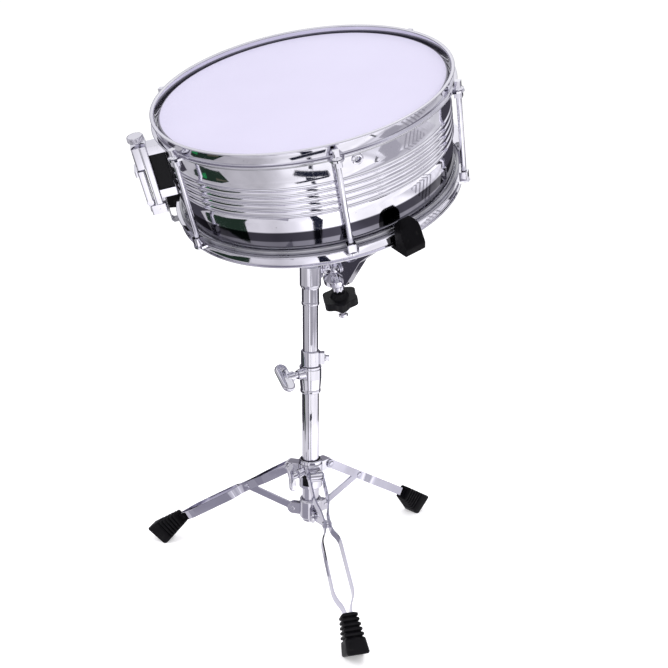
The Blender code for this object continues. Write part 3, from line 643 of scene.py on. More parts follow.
def leg_strip(side):
    """Half of a leg: a bent flat bar with rounded bends, rivets and a round inner end."""
    half = STRIP_THICKNESS / 2
    path = rounded([(x, side * y) for x, y in STRIP_PATH], 0.0090, 12, ring=False)
    outer = [(x, y + half) for x, y in path]
    inner = [(x, y - half) for x, y in reversed(path)]
    strip = prism(outer + inner, -STRIP_HEIGHT / 2, STRIP_HEIGHT / 2)
    end = upright(prism(rounded([(-0.020, -0.03), (0.0, -0.03), (0.0, -0.0062), (-0.0042, -0.0045),
                                 (-0.0060, 0.0), (-0.0042, 0.0045), (0.0, 0.0062), (0.0, 0.03),
                                 (-0.020, 0.03)], 0.0022), -0.02, 0.02))
    heads = []
    for along, middle in ((0.0, 0.0095), (LEG_TO_STRUT_JOINT, 0.0036)):
        heads.append(moved(rivet(0.0044, middle + half - 0.0004, middle + half + 0.0018, side),
                           shift(along, 0, 0)))
    return join(cut(strip, end), *heads)


def foot_section(along, width, high, shear):
    """Rounded rectangle across the foot, leaning along the leg by shear."""
    corner = 0.0038
    points = rounded([(-width, -high), (width, -high), (width, high), (-width, high)], corner, 5)
    return [(along + shear * z, y, z) for y, z in points]


def leg_foot():
    """Rubber boot: five thin ribs, then a plain block cut flat where it meets the floor."""
    sections = []
    ribbed = FOOT_LENGTH * 0.60
    pitch = ribbed / FOOT_RIBS

    def add(along, rise):
        share = along / FOOT_LENGTH
        width = 0.0090 + 0.0036 * share + rise
        high = 0.0090 + 0.0075 * share + rise
        sections.append(foot_section(along, width, high, FOOT_SHEAR * share))

    add(0.0, -0.0010)
    add(0.0008, 0.0)
    for rib in range(FOOT_RIBS):
        start = rib * pitch + 0.0008
        for offset, rise in ((0.0004, 0.0008), (0.0010, 0.0013), (pitch * 0.50, 0.0013),
                             (pitch * 0.62, 0.0008), (pitch * 0.70, -0.0008),
                             (pitch * 0.92, -0.0008)):
            add(start + offset, rise)
    for along, rise in ((ribbed + 0.0012, 0.0006), (ribbed + 0.0024, 0.0013),
                        (FOOT_LENGTH - 0.0022, 0.0013), (FOOT_LENGTH - 0.0008, 0.0006),
                        (FOOT_LENGTH, -0.0008)):
        add(along, rise)
    boot = moved(loft(sections), turn(FOOT_DROOP, "Y"), shift(FOOT_START, 0, 0))
    sole = STAND.translation.z
    floor_point = Vector(((LEG_PIVOT[1] + sole) / sin(LEG_SLOPE), 0, 0))
    floor_normal = Vector((sin(LEG_SLOPE), 0, -cos(LEG_SLOPE)))
    everything = boot.verts[:] + boot.edges[:] + boot.faces[:]
    sliced = bmesh.ops.bisect_plane(boot, geom=everything, plane_co=floor_point,
                                    plane_no=floor_normal, clear_outer=True)
    rim = [item for item in sliced["geom_cut"] if isinstance(item, bmesh.types.BMEdge)]
    bmesh.ops.contextual_create(boot, geom=rim)
    clean(boot)
    socket = block((FOOT_START - 0.006, FOOT_START + 0.0155), (-0.0050, 0.0050),
                   (-0.0064, 0.0064), 0.0006)
    return cut(boot, socket)


def build_legs():
    for number, azimuth in enumerate(LEG_AZIMUTHS, 1):
        spin = turn(azimuth, "Z")
        pivot = spin @ shift(LEG_PIVOT[0], 0, LEG_PIVOT[1]) @ turn(LEG_SLOPE, "Y")
        for letter, side in (("a", 1), ("b", -1)):
            piece(f"leg_{number}_strip_{letter}", leg_strip(side), "strip_chrome", STAND, pivot,
                  bevel=0.0005)
        piece(f"leg_{number}_foot", leg_foot(), "rubber", STAND, pivot, sharp=50)

        pivot = spin @ shift(STRUT_PIVOT[0], 0, STRUT_PIVOT[1]) @ turn(-STRUT_SLOPE, "Y")
        bar = prism(capsule(STRUT_LENGTH + STRUT_HEIGHT, STRUT_HEIGHT),
                    -STRUT_THICKNESS / 2, STRUT_THICKNESS / 2)
        moved(bar, shift(0, STRUT_LENGTH / 2, 0), turn(-pi / 2, "Z"))
        piece(f"strut_{number}", upright(bar), "strip_chrome", STAND, pivot, bevel=0.0006)


def wing_bolt(stem_length, stem_r, wing_length, wing_width, waist=0.0012, thick=0.005,
              holes=()):
    """A bolt along +X that starts at the origin and ends in a rounded wing."""
    stem = along_x(rod(stem_r, 0, stem_length + 0.001))
    shoulder = along_x(turned([(0, stem_length * 0.5), (stem_r * 1.5, stem_length * 0.5),
                               (stem_r * 1.6, stem_length * 0.62),
                               (stem_r * 1.35, stem_length + wing_width * 0.35),
                               (0, stem_length + wing_width * 0.35)], 0.0006, 40))
    wing = prism(capsule(wing_length, wing_width, waist=waist), -thick / 2, thick / 2)
    eased = as_object(moved(wing, shift(stem_length + wing_width / 2 - 0.001, 0, 0)), "wing")
    edge = eased.modifiers.new("eased", "BEVEL")
    edge.width = thick * 0.38
    edge.segments = 4
    edge.limit_method = "ANGLE"
    edge.angle_limit = radians(50)
    bpy.context.view_layer.update()
    shaped = bmesh.new()
    shaped.from_mesh(eased.evaluated_get(bpy.context.evaluated_depsgraph_get()).to_mesh())
    bpy.data.objects.remove(eased, do_unlink=True)
    bolt = join(stem, shoulder, clean(shaped))
    for side in holes:
        reach = wing_length / 2 - wing_width / 2
        drill = moved(rod(wing_width * 0.19, -0.01, 0.01),
                      shift(stem_length + wing_width / 2 - 0.001, side * reach, 0))
        bolt = cut(bolt, drill)
    return bolt


def build_bolts():
    leg_bolt = moved(wing_bolt(0.0070, 0.0032, 0.040, 0.011), turn(radians(-78), "X"))
    place = turn(LEG_BOLT_AZIMUTH, "Z") @ shift(0.0243, 0, LEG_BOLT_Z)
    piece("leg_wing_bolt", leg_bolt, "chrome", STAND, place, sharp=45)
    height_bolt = moved(wing_bolt(0.0120, 0.0042, 0.041, 0.0185, 0.0, 0.0080, (-1,)),
                        turn(radians(-45), "X"))
    place = turn(HEIGHT_BOLT_AZIMUTH, "Z") @ shift(0.0228, 0, HEIGHT_BOLT_Z)
    piece("height_wing_bolt", height_bolt, "chrome", STAND, place, sharp=45)


def build_mast():
    piece("upper_tube", tube(UPPER_TUBE_BORE_R, UPPER_TUBE_R, *UPPER_TUBE_Z), "chrome", STAND)

    collar = turned([(UPPER_TUBE_R + GAP, 0.2980), (0.0126, 0.2980), (0.0130, 0.2990),
                     (0.0130, 0.3180), (0.0126, 0.3190), (UPPER_TUBE_R + GAP, 0.3190)], 0.0005)
    lug = block((0.0115, 0.0190), (-0.0060, 0.0060), (0.3010, 0.3165), 0.0022)
    slot = block((0.0095, 0.0200), (-0.0008, 0.0008), (0.2900, 0.3300), 0.0002)
    for shape in (lug, slot):
        moved(shape, turn(MEMORY_BOLT_AZIMUTH, "Z"))
    piece("memory_lock", cut(join(collar, lug), slot), "chrome", STAND, bevel=0.0005)

    half = 0.0034
    key_head = along_x(block((-half, half), (-half, half), (0.0210, 0.0255), 0.0008))
    washer = along_x(turned([(0, 0.0193), (0.0048, 0.0193), (0.0048, 0.0206), (0.0030, 0.0214),
                             (0, 0.0214)], 0.0003, 32))
    bolt = radial(join(washer, key_head), MEMORY_BOLT_AZIMUTH, MEMORY_BOLT_Z)
    piece("memory_lock_bolt", bolt, "chrome", STAND, bevel=0.0004)

    reach = UPPER_TUBE_R + GAP
    outline = [(0, 0.4203), (reach, 0.4203), (reach, 0.3820), (0.0116, 0.3820), (0.0120, 0.3832),
               (0.0120, 0.3852), (0.0116, 0.3862), (0.0116, 0.4040), (0.0142, 0.4085),
               (0.0142, 0.4330), (0.0120, 0.4365), (0, 0.4370)]
    casting = turned(outline, 0.0008)
    neck = block((-TILT_LUG_HALF_WIDTH, TILT_LUG_HALF_WIDTH), (0.0100, TILT_HINGE_Y),
                 (0.4180, 0.4360), 0.0010)
    disc = moved(along_x(rod(TILT_DISC_R, -TILT_LUG_HALF_WIDTH, TILT_LUG_HALF_WIDTH, 0.0006, 48)),
                 shift(0, TILT_HINGE_Y, TILT_HINGE_Z))
    piece("tilter_socket", join(casting, neck, disc), "chrome", STAND, bevel=0.0006)


# ---------------------------------------------------------------- tilter and basket

def build_tilter():
    inner = TILT_LUG_HALF_WIDTH + GAP
    outer = inner + TILT_CHEEK_WIDTH
    cheeks = []
    for side in (-1, 1):
        span = sorted((side * inner, side * outer))
        disc = moved(along_x(rod(TILT_DISC_R, *span, 0.0006, 48)),
                     shift(0, TILT_HINGE_Y, TILT_HINGE_Z))
        plate = block(span, (TILT_HINGE_Y, 0.0565), (TILT_HINGE_Z - 0.0085, TILT_HINGE_Z + 0.0085),
                      0.0006)
        cheeks += [disc, plate]
    bridge = block((-0.0090, 0.0090), (0.0530, 0.0570),
                   (TILT_HINGE_Z - 0.0080, TILT_HINGE_Z + 0.0080), 0.0008)
    neck = block((-0.0048, 0.0048), (0.0560, 0.0700),
                 (TILT_HINGE_Z - 0.0075, TILT_HINGE_Z + 0.0075), 0.0008)
    nut = moved(along_x(prism(rounded([(0.0062 * cos(pi / 3 * i), 0.0062 * sin(pi / 3 * i))
                                       for i in range(6)], 0.0007), outer - 0.0004,
                              outer + 0.0042)), shift(0, TILT_HINGE_Y, TILT_HINGE_Z))
    arm = join(bridge, neck, nut, *cheeks)
    clearance = moved(rod(HUB_R + GAP, HUB_Z[0] - 0.02, HUB_Z[1] + 0.02, 0.0004, 64), LEAN)
    piece("tilt_arm", cut(arm, clearance), "chrome", STAND, bevel=0.0006)

    bolt = moved(wing_bolt(0.0060, 0.0032, 0.024, 0.011), turn(radians(70), "X"),
                 turn(pi, "Z"))
    place = shift(-outer - GAP, TILT_HINGE_Y, TILT_HINGE_Z)
    piece("tilter_wing_bolt", bolt, "chrome", STAND, place, sharp=45)

    hub = turned([(0, HUB_Z[0]), (HUB_R - 0.001, HUB_Z[0]), (HUB_R, HUB_Z[0] + 0.001),
                  (HUB_R, -0.1760), (0.0125, -0.1722), (0, HUB_Z[1])], 0.0008)
    ears = []
    for angle in ARM_ANGLES:
        for side in (-1, 1):
            span = sorted((side * (ARM_HALF_WIDTH + GAP), side * (ARM_HALF_WIDTH + 0.0025)))
            ear = upright(prism(lug_outline(0.010, ARM_PIVOT[0], 0.0065), *span))
            ears.append(radial(ear, angle, ARM_PIVOT[1]))
            head = moved(rivet(0.0030, ARM_HALF_WIDTH + 0.0023, ARM_HALF_WIDTH + 0.0036, side),
                         shift(ARM_PIVOT[0], 0, 0))
            ears.append(radial(head, angle, ARM_PIVOT[1]))
    piece("basket_hub", join(hub, *ears), "chrome", DRUM, bevel=0.0005)

    profile = [(0, HUB_Z[0] - GAP), (STUD_R, HUB_Z[0] - GAP)]
    thread = -0.2340
    while thread > -0.2790:
        profile += [(STUD_R, thread), (STUD_R - 0.0004, thread - 0.0004)]
        thread -= 0.0008
    profile += [(STUD_R, -0.2800), (0.0070, -0.2802), (0.0070, -0.2848), (STUD_R, -0.2855),
                (STUD_R, -0.2876), (STUD_R - 0.0008, -0.2880), (0, -0.2880)]
    piece("basket_stud", lathe(profile, 48), "chrome", DRUM)

    carriage = turned([(0.0044, -0.2045), (0.0100, -0.2045), (0.0188, -0.2140),
                       (0.0188, -0.2220), (0.0150, -0.2225), (0.0080, -0.2240),
                       (0.0080, -0.2300), (0.0088, -0.2306), (0.0088, -0.2400),
                       (0.0044, -0.2400)], 0.0006)
    piece("basket_carriage", carriage, "chrome", DRUM)
    piece("basket_knob", knob(), "nylon", DRUM, bevel=0.0016, segments=4, sharp=40)

    for number, angle in enumerate(ARM_ANGLES, 1):
        build_arm(number, LEAN @ turn(angle, "Z"))


ARM_OUTLINE = [(0.0174, -0.2100), (0.0186, -0.2125), (0.0330, -0.2125), (0.0840, -0.1480),
               (0.1670, -0.0778), (0.1930, -0.0778), (0.1930, -0.0743), (0.1650, -0.0743),
               (0.0950, -0.1120), (0.0330, -0.1640), (0.0190, -0.1770), (0.0190, -0.2010)]
ARM_CHANNEL = [(0.0330, -0.2085), (0.0810, -0.1490), (0.1570, -0.0850), (0.1560, -0.0700),
               (0.0900, -0.1000), (0.0300, -0.1500)]
CLAW_OUTLINE = [(0.1765, -0.0785), (0.1765, -0.0728), (0.1880, -0.0728), (0.1880, -0.0440),
                (0.1900, -0.0385), (0.1945, -0.0385), (0.1990, -0.0450), (0.2085, -0.0690),
                (0.2070, -0.0785)]


def claw_arch(steps=28):
    """Front view of a claw, straight below and arched above, extruded through its depth."""
    outline = [(-CLAW_HALF_WIDTH, -0.0800), (CLAW_HALF_WIDTH, -0.0800)]
    for step in range(steps + 1):
        angle = pi * step / steps
        outline.append((CLAW_HALF_WIDTH * cos(angle), CLAW_ARCH_Z + CLAW_ARCH_RISE * sin(angle)))
    return moved(prism(outline, 0.1700, 0.2150), FACING_X)


def build_arm(number, place):
    """A pressed channel that carries a rubber claw."""
    body = upright(prism(rounded(ARM_OUTLINE, 0.0030), -ARM_HALF_WIDTH, ARM_HALF_WIDTH))
    inside = ARM_HALF_WIDTH - 0.0014
    channel = upright(prism(rounded(ARM_CHANNEL, 0.0040), -inside, inside))
    piece(f"basket_arm_{number}", cut(body, channel), "chrome", STAND, place, bevel=0.0004)
    claw = upright(prism(rounded(CLAW_OUTLINE, 0.0016), -CLAW_HALF_WIDTH, CLAW_HALF_WIDTH))
    claw = combine(claw, [claw_arch()], "INTERSECT")
    reach = ARM_HALF_WIDTH + GAP
    pocket = block((0.1700, 0.1935), (-reach, reach), (-0.0900, -0.0740), 0.0004)
    piece(f"basket_claw_{number}", cut(claw, pocket), "rubber", STAND, place, bevel=0.0012,
          segments=4, sharp=50)


def knob(lobes=6, steps=12):
    """Lobed hand knob with a raised middle on both sides."""
    outline = []
    for step in range(lobes * steps):
        angle = 2 * pi * step / (lobes * steps)
        radius = 0.0243 + 0.0023 * cos(lobes * angle)
        outline.append((radius * cos(angle), radius * sin(angle)))
    body = prism(outline, *KNOB_Z)
    boss = turned([(0, KNOB_Z[0] - 0.0060), (0.0095, KNOB_Z[0] - 0.0060), (0.0110, KNOB_Z[0] - 0.0045),
                   (0.0120, KNOB_Z[0] + 0.001), (0.0140, KNOB_Z[1] - 0.001), (0.0110, -0.2440),
                   (0.0100, -0.2410), (0, -0.2410)], 0.0010, 64)
    bore = rod(STUD_R + 0.0004, -0.30, -0.20, 0.0001, 40)
    return cut(join(body, boss), bore)


# ---------------------------------------------------------------- drum

def shell_outline():
    """Section of the shell's wall: eased bearing edges and five round beads."""
    inner = SHELL_R - SHELL_WALL
    points = [(inner - 0.0002, SHELL_HALF_DEPTH), (SHELL_R - 0.0010, SHELL_HALF_DEPTH),
              (SHELL_R - 0.0004, SHELL_HALF_DEPTH - 0.0006), (SHELL_R, SHELL_HALF_DEPTH - 0.0022),
              (SHELL_R, 0.034)]
    for bead in range(BEAD_COUNT):
        middle = BEAD_MIDDLE_Z + BEAD_PITCH * ((BEAD_COUNT - 1) / 2 - bead)
        for step in range(13):
            share = 1 - step / 6
            points.append((SHELL_R + BEAD_RISE * 0.5 * (1 + cos(pi * share)),
                           middle + BEAD_HALF_HEIGHT * share))
    points.append((SHELL_R, -0.018))
    points += [(SHELL_R, 0.0022 - SHELL_HALF_DEPTH), (SHELL_R - 0.0004, 0.0006 - SHELL_HALF_DEPTH),
               (SHELL_R - 0.0010, -SHELL_HALF_DEPTH), (inner - 0.0002, -SHELL_HALF_DEPTH)]
    return points


def head_outline():
    """Film stretched flat, over the bearing edge and down inside its hoop."""
    top = HEAD_Z
    low = HOOP_FLANGE_Z[0] - 0.0005
    thin = FILM_THICKNESS
    outer = rounded([(0.150, top), (0.1758, top), (0.1772, top - 0.0012), (0.1776, low)], 0.0012,
                    5, ring=False)
    inner = rounded([(0.1772, low), (0.1767, top - 0.0013), (0.1756, top - thin),
                     (0.150, top - thin)], 0.0010, 5, ring=False)
    return [(0, top)] + outer + inner + [(0, top - thin)]


def hoop_outline():
    """Rim, wall and flange of the upper hoop, as one bent sheet."""
    low, high = HOOP_FLANGE_Z
    return rounded([(0.1803, low), (HOOP_FLANGE_R, low), (HOOP_FLANGE_R, high), (0.1822, high),
                    (0.1822, HOOP_RIM_Z - 0.0026), (0.1850, HOOP_RIM_Z - 0.0018),
                    (0.1849, HOOP_RIM_Z - 0.0002), (0.1815, HOOP_RIM_Z),
                    (0.1803, HOOP_RIM_Z - 0.0012)], 0.0009, 4)


def ear_outline():
    return rounded([(0.1835, -0.0100), (0.1920, -0.0080), (0.1968, -0.0055), (0.1988, 0.0),
                    (0.1968, 0.0055), (0.1920, 0.0080), (0.1835, 0.0100)], 0.0018, 5)


def hoop(segments=240):
    """One flanged hoop with its ears, their turned-down clips and their holes."""
    low, high = HOOP_FLANGE_Z
    parts = []
    holes = []
    for angle in ROD_ANGLES:
        parts.append(moved(prism(ear_outline(), low - GAP, high + GAP), turn(angle, "Z")))
        clip = block((0.1868, 0.1962), (-0.0047, 0.0047), (low - 0.0070, low + 0.001), 0.0016)
        parts.append(moved(clip, turn(angle, "Z")))
        hole = rod(ROD_HOLE_R, low - 0.03, high + 0.03, 0.0001, 32)
        holes.append(moved(hole, shift(ROD_CIRCLE_R, 0, 0), turn(angle, "Z")))
    return cut(join(lathe(hoop_outline(), segments), *parts), *holes)


def lower_hoop(segments=240):
    """The hoop turned over, with threaded bosses and gates for the snare straps."""
    low = HOOP_FLANGE_Z[0]
    ring_part = moved(lathe(hoop_outline(), segments), turn(pi, "X"))
    parts = []
    cuts = []
    half = 0.0052
    for angle in ROD_ANGLES:
        ear = prism(ear_outline(), -HOOP_FLANGE_Z[1] - GAP, GAP - low)
        boss = block((ROD_CIRCLE_R - half, ROD_CIRCLE_R + half), (-half, half),
                     (-low - 0.001, -0.0460), 0.0014)
        hole = moved(rod(ROD_HOLE_R, -0.08, -0.03, 0.0001, 32), shift(ROD_CIRCLE_R, 0, 0))
        parts += [moved(ear, turn(angle, "Z")), moved(boss, turn(angle, "Z"))]
        cuts.append(moved(hole, turn(angle, "Z")))
    for angle in (STRAINER_ANGLE, BUTT_ANGLE):
        gate = block((0.175, 0.1845), (-0.012, 0.012), (-0.0696, -0.0595), 0.0006)
        cuts.append(moved(gate, turn(angle, "Z")))
    return cut(join(ring_part, *parts), *cuts)


def tension_rod():
    """Rod with a rolled thread, a washer and a square key head."""
    seat = HOOP_FLANGE_Z[1] + 2 * GAP
    profile = [(0, -0.0612), (ROD_R - 0.0009, -0.0612)]
    height = -0.0604
    while height < -0.0460:
        profile += [(ROD_R, height), (ROD_R - 0.0004, height + 0.0004)]
        height += 0.0008
    profile += [(ROD_R, height), (ROD_R, seat - 0.0001), (0.0060, seat), (0.0065, seat + 0.0005),
                (0.0065, seat + 0.0012), (0.0048, seat + 0.0019), (0.0040, seat + 0.0026),
                (0, seat + 0.0026)]
    half = 0.0035
    head = block((-half, half), (-half, half), (seat + 0.0018, 0.0690), 0.0008)
    return join(lathe(profile, 36), head)


def build_drum():
    drill = moved(along_x(rod(0.0050, 0.165, 0.185, 0.0001, 32)), turn(VENT_ANGLE, "Z"),
                  shift(0, 0, VENT_Z))
    piece("shell", cut(lathe(shell_outline(), 240), drill), "shell_chrome", DRUM)
    grommet = along_x(turned([(0.0034, 0.1735), (0.0046, 0.1735), (0.0046, 0.1768),
                              (0.0068, 0.1769), (0.0066, 0.1777), (0.0048, 0.1785),
                              (0.0034, 0.1780)], 0.0004, 48))
    moved(grommet, turn(VENT_ANGLE, "Z"), shift(0, 0, VENT_Z))
    piece("vent_grommet", grommet, "chrome", DRUM)

    over = turn(pi, "X")
    piece("batter_head", lathe(head_outline(), 200), "coated_film", DRUM, sharp=60)
    piece("snare_head", moved(lathe(head_outline(), 200), over), "clear_film", DRUM, sharp=60)
    low = HOOP_FLANGE_Z[0] - GAP
    flesh = tube(0.1780, 0.1815, low - 0.0045, low, 0.0010, 200)
    piece("batter_flesh_hoop", flesh.copy(), "steel", DRUM)
    piece("snare_flesh_hoop", moved(flesh, over), "steel", DRUM)
    piece("batter_hoop", hoop(), "hoop_chrome", DRUM, sharp=45)
    piece("snare_hoop", lower_hoop(), "hoop_chrome", DRUM, sharp=45)
    for number, angle in enumerate(ROD_ANGLES, 1):
        place = turn(angle, "Z") @ shift(ROD_CIRCLE_R, 0, 0)
        piece(f"tension_rod_{number}", tension_rod(), "chrome", DRUM, place, sharp=45)


# ---------------------------------------------------------------- snares and strainer

def screw_head(radius, height, start):
    """A domed, cross-cut screw head that stands along local X."""
    head = turned([(0, 0), (radius, 0), (radius, height * 0.5), (radius * 0.6, height), (0, height)],
                  0.0004, 32)
    cross = [block((-radius * 0.6, radius * 0.6), (-0.0004, 0.0004), (height * 0.5, height * 2), 0.0001),
             block((-0.0004, 0.0004), (-radius * 0.6, radius * 0.6), (height * 0.5, height * 2), 0.0001)]
    return moved(along_x(cut(head, *cross)), shift(start, 0, 0))


def build_snares():
    butt = join(block((-0.1895, -0.1772), (-0.013, 0.013), (-0.0500, -0.0320), 0.0016),
                block((-0.1925, -0.1880), (-0.010, 0.010), (-0.0460, -0.0360), 0.0010),
                *[moved(screw_head(0.0022, 0.0014, 0.1923), turn(pi, "Z"), shift(0, y, -0.0410))
                  for y in (-0.0065, 0.0065)])
    piece("butt_plate", butt, "chrome", DRUM, STRAINER, bevel=0.0006)

    half = SNARE_HALF_LENGTH
    width = SNARE_PITCH * SNARE_STRANDS / 2
    wires = bmesh.new()
    for side in (-1, 1):
        span = sorted((side * (half - 0.008), side * (half + 0.006)))
        add_shape(wires, block(span, (-width, width), (SNARE_Z - 0.0008, SNARE_Z + 0.0008), 0.0006))
    for strand in range(SNARE_STRANDS):
        middle = SNARE_PITCH * (strand - (SNARE_STRANDS - 1) / 2)
        add_shape(wires, coil_strand(half - 0.004, middle))
    piece("snare_wires", wires, "steel", DRUM, STRAINER, sharp=60)

    thin = STRAP_HALF_THICKNESS
    reach = STRAP_HALF_WIDTH
    butt_strap = [(-half - 0.0065, SNARE_Z - thin), (-half - 0.0065, SNARE_Z + thin),
                  (-0.1896, SNARE_Z + thin), (-0.1896, -0.0505), (-0.1904, -0.0505),
                  (-0.1904, SNARE_Z - thin)]
    piece("butt_strap", upright(prism(butt_strap, -reach, reach)), "strap", DRUM, STRAINER)

    body = join(block((0.1985, 0.2065), (-0.014, 0.014), (-0.0340, 0.0440), 0.0014),
                block((0.2055, 0.2170), (-0.012, 0.012), (0.0150, 0.0430), 0.0022),
                block((0.1772, 0.2000), (-0.010, 0.010), (0.0300, 0.0410), 0.0012),
                block((0.1772, 0.2000), (-0.010, 0.010), (-0.0285, -0.0175), 0.0012))
    grooves = [block((0.2160, 0.2180), (-0.020, 0.020), (z, z + 0.0010), 0.0002)
               for z in (0.0190, 0.0385)]
    piece("strainer_body", cut(body, *grooves), "chrome", DRUM, STRAINER, bevel=0.0007)
    piece("strainer_spacer", block((0.1790, 0.1982), (-0.0085, 0.0085), (-0.0172, 0.0297), 0.0012),
          "nylon", DRUM, STRAINER, bevel=0.0006)

    place = STRAINER @ shift(0.2135, 0, -0.0300)
    lever = join(block((-0.0040, 0.0040), (-0.0125, 0.0125), (0.0, 0.0430), 0.0016),
                 moved(rod(0.0045, -0.0125, 0.0125, 0.0006), turn(pi / 2, "X")),
                 block((0.0030, 0.0075), (-0.0110, 0.0110), (0.0365, 0.0445), 0.0014))
    piece("strainer_lever", lever, "chrome", DRUM, place, bevel=0.0009)

    flutes = 30
    outline = []
    for step in range(flutes * 4):
        angle = 2 * pi * step / (flutes * 4)
        radius = 0.0102 - (0.0005 if step % 4 in (2, 3) else 0.0)
        outline.append((radius * cos(angle), radius * sin(angle)))
    skirt = turned([(0, 0), (0.0040, 0), (0.0040, 0.0022), (0.0095, 0.0030), (0.0095, 0.0100),
                    (0.0080, 0.0105), (0, 0.0105)], 0.0006, 48)
    knurl = prism(outline, 0.0040, 0.0092)
    place = STRAINER @ shift(0.2085, 0, 0.0445)
    piece("strainer_knob", join(skirt, knurl), "chrome", DRUM, place, bevel=0.0003, segments=2)

    slider = join(block((0.1955, 0.2150), (-0.0120, 0.0120), (-0.0480, -0.0355), 0.0016),
                  block((0.2145, 0.2170), (-0.0040, 0.0040), (-0.0460, -0.0380), 0.0006),
                  *[moved(screw_head(0.0022, 0.0014, 0.2148), shift(0, y, -0.0420))
                    for y in (-0.0085, 0.0085)])
    piece("strainer_slider", slider, "chrome", DRUM, STRAINER, bevel=0.0006)
    strainer_strap = [(half + 0.0065, SNARE_Z - thin), (0.1924, SNARE_Z - thin),
                      (0.1952, SNARE_Z + 0.0030), (0.1952, -0.0390), (0.1944, -0.0390),
                      (0.1944, SNARE_Z + 0.0033), (0.1918, SNARE_Z + thin),
                      (half + 0.0065, SNARE_Z + thin)]
    piece("strainer_strap", upright(prism(strainer_strap, -reach, reach)), "strap", DRUM, STRAINER)


def add_shape(target, shape):
    """Add a closed shape to another as one more closed body."""
    mesh = bpy.data.meshes.new("added")
    shape.to_mesh(mesh)
    shape.free()
    target.from_mesh(mesh)
    bpy.data.meshes.remove(mesh)


def coil_strand(reach, middle, pitch=0.0009, sides=8):
    """One close-wound snare wire: a rod whose surface rises and falls with each turn."""
    profile = [(0, -reach)]
    height = -reach
    while height < reach:
        profile += [(0.00085, height), (0.00110, height + pitch / 2)]
        height += pitch
    profile += [(0.00085, height), (0, height)]
    return moved(along_x(lathe(profile, sides)), shift(0, middle, SNARE_Z))


# ---------------------------------------------------------------- stage, light and camera

def unseen(stage_object):
    """Keep a stage object out of sight, so that it shows only in the chrome."""
    stage_object.visible_camera = False
    stage_object.visible_diffuse = False
    stage_object.visible_transmission = False
    stage_object.visible_shadow = False


def glow(graph, colour, strength=1.0):
    """Glowing paint for what the chrome reflects."""
    graph.set(Base_Color=(0, 0, 0, 1), Specular_IOR_Level=0.0, Emission_Color=colour,
              Emission_Strength=strength)
    graph.material.cycles.emission_sampling = "NONE"
    return graph.material


def sheet(name, corners, material):
    mesh = bpy.data.meshes.new(name)
    mesh.from_pydata(corners, [], [tuple(range(len(corners)))])
    mesh.materials.append(material)
    made = bpy.data.objects.new(name, mesh)
    bpy.context.scene.collection.objects.link(made)
    return made


def square(half):
    return [(-half, -half, 0), (half, -half, 0), (half, half, 0), (-half, half, 0)]


def around(azimuth, reach, height=0.0):
    """A point at a distance from the tube in the direction of a compass angle."""
    heading = radians(azimuth)
    centre = STAND.translation
    return (centre.x + reach * cos(heading), centre.y + reach * sin(heading), height)


def floor_card(name, corners, colour, height=0.002):
    """A patch on the floor, by (azimuth, distance) corners, that only the chrome shows."""
    points = [around(azimuth, reach, height) for azimuth, reach in corners]
    unseen(sheet(name, points, glow(Graph(f"{name}_paint"), (*colour, 1.0))))


def flag(name, from_azimuth, to_azimuth, reach, low, high, colour):
    """An upright board round the stand that darkens the edges of the tubes."""
    points = [around(from_azimuth, reach, low), around(to_azimuth, reach, low),
              around(to_azimuth, reach, high), around(from_azimuth, reach, high)]
    unseen(sheet(name, points, glow(Graph(f"{name}_paint"), (*colour, 1.0))))


def build_stage():
    graph = Graph("pale_floor")
    cloud = graph.noise(3, 3)
    graph.set(Base_Color=graph.mix(cloud, (0.90, 0.90, 0.91), (0.93, 0.93, 0.935)),
              Roughness=0.85, Specular_IOR_Level=0.1, Emission_Color=(1.0, 1.0, 1.0, 1.0),
              Emission_Strength=0.30)
    floor = sheet("floor", square(30.0), graph.material)
    floor.visible_glossy = False
    build_surroundings()


